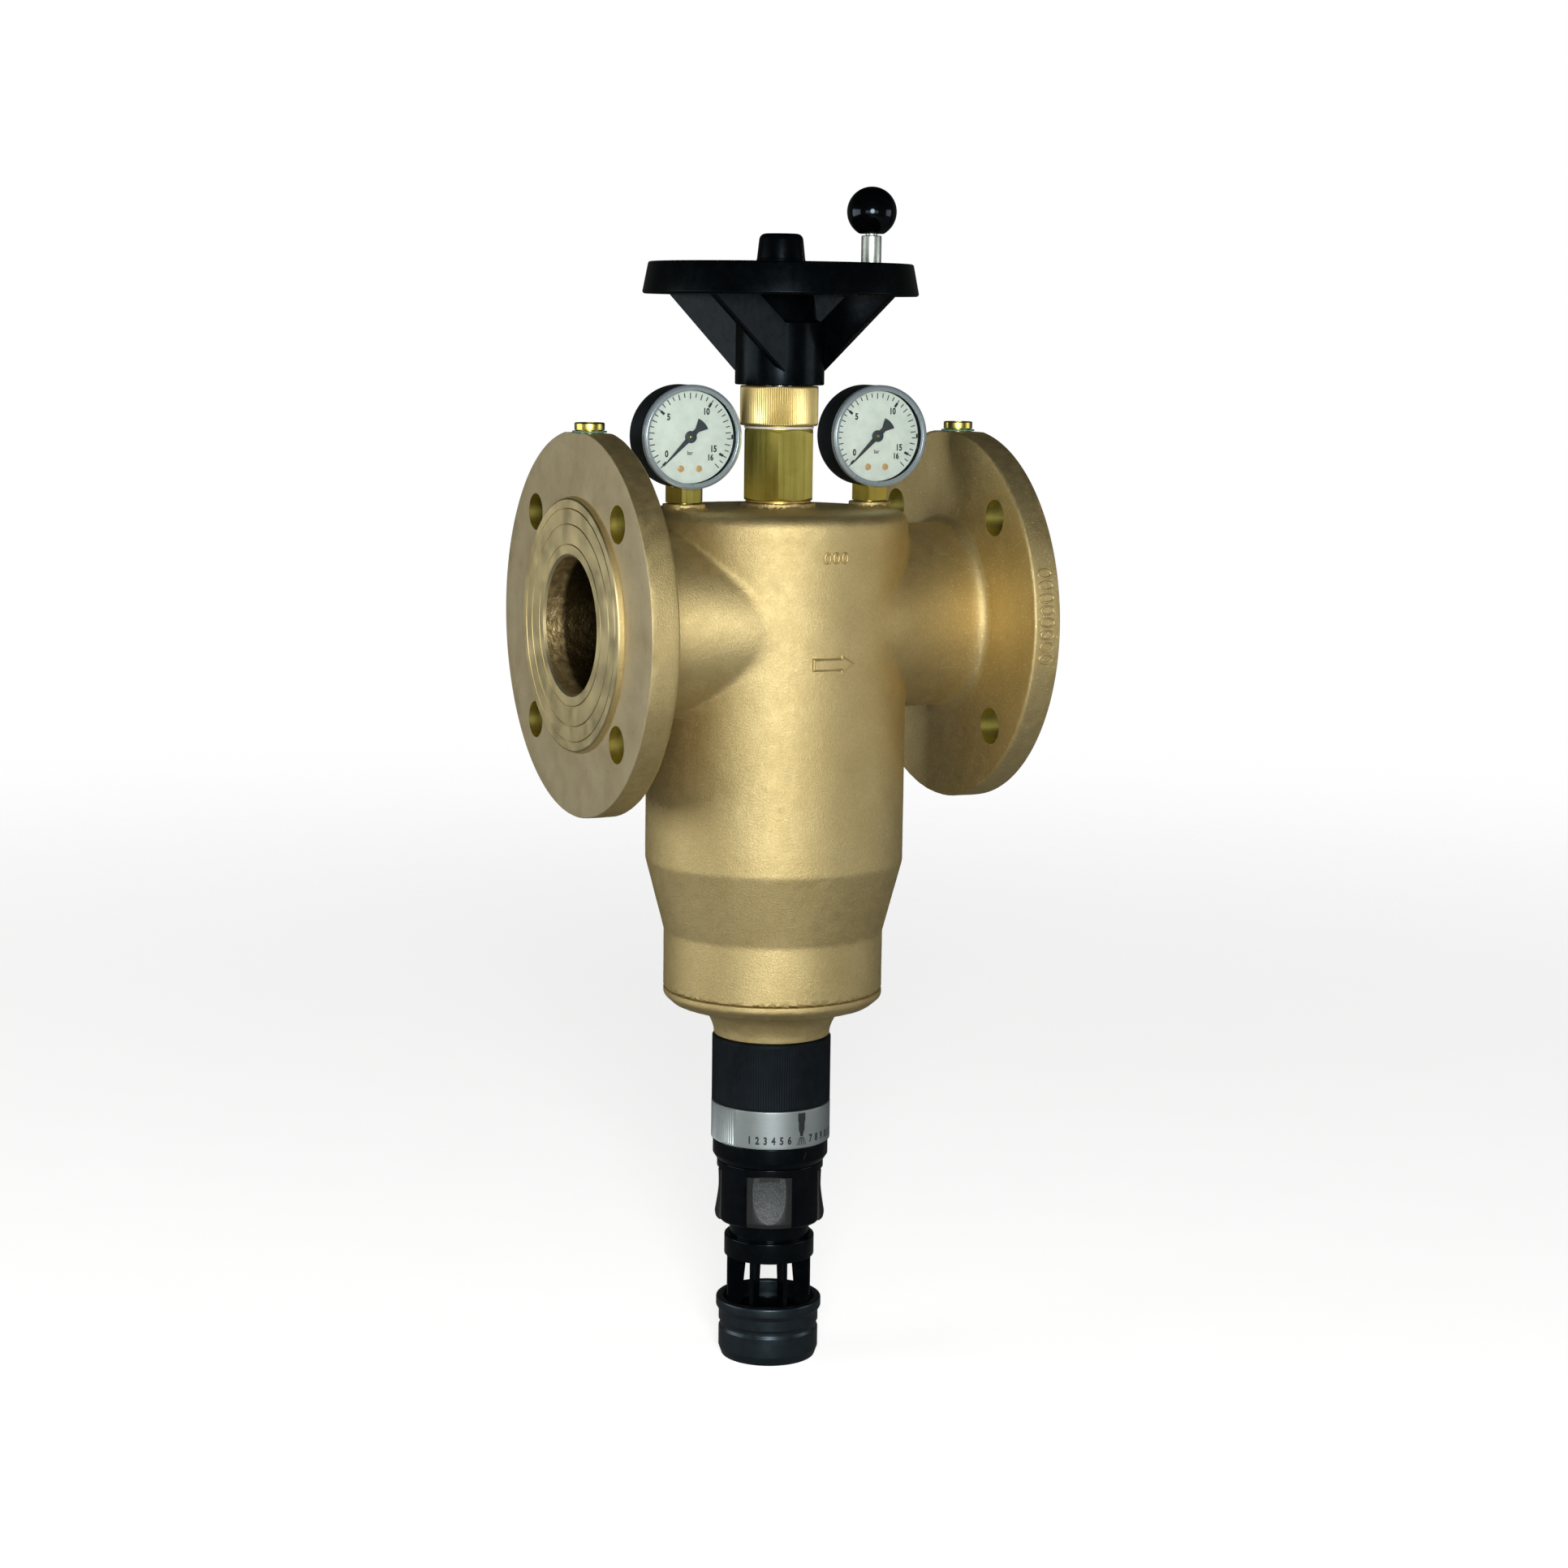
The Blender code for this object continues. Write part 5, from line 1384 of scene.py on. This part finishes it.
def drain_spout():
    collar = [
        (COLLAR_RADIUS, -261.8, 0.4), (COLLAR_RADIUS, -269.5, 0.6), (27.0, -272.6, 0.5),
        (23.6, -272.6), (23.6, -261.8),
    ]
    lathe("drain_collar", collar, GLOSS, slot="black_gloss")
    tick = flat_slab("tick", [(-0.9, -1.6), (-0.6, -1.6), (0.9, 1.6), (0.6, 1.6)], PRINT_THICKNESS)
    tick = wrapped(tick, -79.0, -266.0, COLLAR_RADIUS)
    piece("collar_mark", tick, PRINT, "body")
    outline = [
        (26.0, -229.1), (26.0, -232.0), (23.3, -232.0), (23.3, -272.9), (26.8, -272.9, 0.5),
        (26.8, -302.6, 0.5), (25.4, -304.0, 0.5), (20.1, -304.0, 1.0), (20.1, -318.0, 0.5),
        (16.0, -318.0, 0.5), (16.0, -229.1),
    ]
    mesh = turned_mesh("spout", outline, steps=160)
    mesh = combine(mesh, "DIFFERENCE", shaped("tab_pockets", add_tab_pockets))
    piece("drain_spout_fine", mesh, GLOSS, "body", ("drain_spout",))


def add_tab_pockets(shape):
    for quarter in range(4):
        turn = TAB_START + math.tau * quarter / 4
        add_box(shape, (21.2, -11.6, -305.6), (30.0, 11.6, -276.5), turn)


def tab_mesh(place):
    """A sprung tab with a flared foot, a thumb hollow and a notch above it."""
    blank = box_mesh((23.8, -11.2, -302.6), (29.0, 11.2, -277.0), place, 0.3)
    flare = [
        (0, -276.0), (27.0, -276.0), (27.0, -286.0, 8.0), (27.7, -300.6, 1.0), (27.2, -303.6),
        (0, -303.6),
    ]
    mesh = combine(blank, "INTERSECT", turned_mesh("flare", flare, steps=192, loop=False, place=place))
    thumb = Matrix.Translation((42.0, 0, -283.5)) @ Matrix.Diagonal((17.2, 26.6, 31.0, 1))

    def add_ball(shape):
        bmesh.ops.create_uvsphere(shape, u_segments=64, v_segments=48, radius=1.0, matrix=thumb)

    hollow = with_finish(shaped("hollow", add_ball, place), THUMBED)
    top = with_finish(box_mesh((25.0, -5.2, -279.4), (30.0, 5.2, -276.0), place), GRAINED)
    return combine(with_finish(mesh, GRAINED), "DIFFERENCE", hollow, top)


def release_tabs():
    for quarter, side in enumerate(("front", "right", "back", "left")):
        place = Matrix.Rotation(TAB_START + math.tau * quarter / 4, 4, "Z")
        name = f"release_tab_{side}"
        piece(f"{name}_fine", tab_mesh(place), None, f"tab_{side}", (name,))


def cage_and_funnel():
    ring = [
        (22.7, -312.0, 0.8), (22.7, -322.6, 0.5), (20.4, -322.6), (20.4, -312.0),
    ]
    mesh = turned_mesh("cage_ring", ring)
    foot = [(22.6, -352.5, 0.4), (22.6, -358.0), (19.8, -358.0), (19.8, -352.5, 0.4)]
    foot = turned_mesh("cage_foot", foot)
    mesh = combine(mesh, "UNION", *fin_meshes(), foot)
    piece("drain_cage_fine", mesh, GLOSS, "body", ("drain_cage",))
    funnel = [
        (26.6, -344.5, 1.2), (26.6, -349.5, 1.6), (25.2, -351.5, 0.8), (25.2, -356.6, 0.4),
        (24.5, -357.8, 0.4), (24.5, -359.4, 0.4), (25.2, -360.8, 0.4), (25.2, -370.5, 0.8),
        (23.6, -375.0, 0.6), (20.5, -375.0, 0.4), (20.5, -358.4), (23.0, -358.4),
        (23.0, -345.3, 0.5), (23.6, -344.5, 0.4),
    ]
    lathe("drain_funnel", funnel, FUNNEL, slot="black_gloss")


def fin_meshes():
    """The eight upright fins of the cage, whose inner edges lean."""
    outline = [(15.8, -354.0), (22.5, -354.0), (22.5, -322.0), (12.4, -322.0)]
    stand = Matrix.Rotation(math.pi / 2, 4, "X")
    for number in range(8):
        turn = TAB_START + math.tau * (number + 0.5) / 8
        yield slab_mesh("fin", outline, 2.1, 0.3, Matrix.Rotation(turn, 4, "Z") @ stand)


# ---------------------------------------------------------------- pieces that stay as the frame gives them


KEPT = {
    STEEL: ("flush_seat", "hub_washer", "hub_screw"),
    WEAVE: ("sieve_screen",),
    SATIN: ("sieve_top_ring", "sieve_bottom_ring", "sieve_basket"),
    RUBBER: ("cover_o_ring", "sieve_o_ring", "flush_plug_seal"),
    BRASS_TURNED: ("flush_plug",),
    GLOSS: ("suction_nozzle_1", "suction_nozzle_2", "suction_nozzle_3", "suction_nozzle_4"),
}


def finish_kept_nodes():
    for finish, names in KEPT.items():
        for name in names:
            for slot in frame["nodes"][name].material_slots:
                slot.material = finish


# ---------------------------------------------------------------- studio


def floor():
    """A pale floor that fades into the background, and that reflects little light back up."""
    shape = bmesh.new()
    bmesh.ops.create_circle(shape, cap_ends=True, segments=96, radius=FLOOR_RADIUS)
    mesh = mesh_of("floor", shape)
    obj = new_object("floor", mesh)
    made = Shader("floor_paint", (0.9, 0.9, 0.9), 0.75, 0.0)
    reach = made.node("ShaderNodeVectorMath", {0: made.place}, operation="LENGTH").outputs["Value"]
    fade = made.mapped(reach, *FLOOR_FADE, smooth=True)
    seen = made.node("ShaderNodeLightPath").outputs["Is Camera Ray"]
    mottle = made.mapped(made.noise(60, 3, 0.5), 0.3, 0.7)
    pale = made.mix(mottle, (0.90, 0.90, 0.90), (0.87, 0.87, 0.87))
    made.colour(made.mix(seen, (0.34, 0.34, 0.34), pale))
    made.put(made.surface, "Emission Color", (1.0, 1.0, 1.0, 1.0))
    made.put(made.surface, "Emission Strength", made.math("MULTIPLY", seen, FLOOR_GLOW))
    clear = made.node("ShaderNodeBsdfTransparent")
    inputs = {0: fade, 1: made.surface.outputs[0], 2: clear.outputs[0]}
    both = made.node("ShaderNodeMixShader", inputs)
    made.surface_to(both)
    with_finish(mesh, made.material)


def background():
    """White behind the object, and a dim room in its reflections, darker above and below."""
    world = bpy.data.worlds.new("studio")
    world.use_nodes = True
    bpy.context.scene.world = world
    tree = world.node_tree
    tree.nodes.clear()

    def node(kind, links=(), **settings):
        made = tree.nodes.new(kind)
        for key, value in settings.items():
            setattr(made, key, value)
        for socket, source in links:
            tree.links.new(source, made.inputs[socket])
        return made

    aim = node("ShaderNodeTexCoord").outputs["Generated"]
    upright = node("ShaderNodeSeparateXYZ", [(0, aim)]).outputs["Z"]
    level = node("ShaderNodeMath", [(0, upright)], operation="ABSOLUTE").outputs[0]
    glow = node("ShaderNodeMapRange", [("Value", level)], interpolation_type="SMOOTHSTEP")
    for socket, value in zip(("From Min", "From Max", "To Min", "To Max"), ROOM_GLOW):
        glow.inputs[socket].default_value = value
    white = node("ShaderNodeBackground")
    white.inputs["Color"].default_value = (1, 1, 1, 1)
    room = node("ShaderNodeBackground", [("Strength", glow.outputs[0])])
    room.inputs["Color"].default_value = (0.93, 1.0, 0.88, 1)
    seen = node("ShaderNodeLightPath").outputs["Is Camera Ray"]
    both = node("ShaderNodeMixShader", [(0, seen), (1, room.outputs[0]), (2, white.outputs[0])])
    node("ShaderNodeOutputWorld", [(0, both.outputs[0])])


# A small bright box above the camera, a wide dim one behind it, and one on each side
LIGHTS = (
    # name, degrees from the front, degrees up, metres away, width and height, watts, outline
    ("key", 3, 8, 1.75, (0.6, 0.5), 21, "DISK"),
    ("front", 0, 3, 2.3, (2.6, 0.5), 9, "RECTANGLE"),
    ("left", -80, 2, 2.0, (1.7, 0.8), 13, "RECTANGLE"),
    ("right", 84, 2, 2.0, (1.0, 0.7), 5, "RECTANGLE"),
)


def soft_light(name, azimuth, elevation, distance, size, power, outline):
    light = bpy.data.lights.new(name, "AREA")
    light.shape = outline
    light.size, light.size_y = size
    light.energy = power
    obj = new_object(name, light)
    turn, rise = math.radians(FRONT + azimuth), math.radians(elevation)
    flat = math.cos(rise)
    away = Vector((math.cos(turn) * flat, math.sin(turn) * flat, math.sin(rise)))
    obj.location = PORT + away * distance
    obj.rotation_euler = away.to_track_quat("Z", "Y").to_euler()


# The camera's place and aim, in degrees and metres, as fitted to the object's size
CAMERA_AZIMUTH = 25.851
CAMERA_DISTANCE = 1.541484
CAMERA_HEIGHT = 0.146457
CAMERA_TURN = 0.174
CAMERA_PITCH = -8.443
CAMERA_ROLL = 0.734
CAMERA_LENS = 72.03


def camera():
    azimuth = math.radians(CAMERA_AZIMUTH)
    away = Vector((-math.sin(azimuth), -math.cos(azimuth), 0)) * CAMERA_DISTANCE
    place = PORT + away + Vector((0, 0, CAMERA_HEIGHT))
    turn = math.radians(CAMERA_AZIMUTH + CAMERA_TURN)
    pitch = math.radians(CAMERA_PITCH)
    flat = math.cos(pitch)
    ahead = Vector((math.sin(turn) * flat, math.cos(turn) * flat, math.sin(pitch)))
    right = Vector((math.cos(turn), -math.sin(turn), 0))
    level = Matrix((right, right.cross(ahead), -ahead)).transposed()
    roll = Matrix.Rotation(math.radians(CAMERA_ROLL), 3, "Z")
    data = bpy.data.cameras.new("camera")
    data.lens = CAMERA_LENS
    data.sensor_width = 36.0
    obj = new_object("camera", data)
    obj.matrix_world = Matrix.Translation(place) @ (level @ roll).to_4x4()
    bpy.context.scene.camera = obj
    bpy.context.scene.view_settings.view_transform = "Standard"


body_casting()
flow_arrow()
cast_rings()
rim_marks()
test_plugs()
bottom_cover()
bonnet()
gland_nut()
spindle()
handwheel()
wheel_fittings()
gauge("inlet", "inlet_gauge")
gauge("outlet", "outlet_gauge")
union_sleeve()
month_ring()
drain_spout()
release_tabs()
cage_and_funnel()
finish_kept_nodes()
floor()
background()
for light in LIGHTS:
    soft_light(*light)
camera()
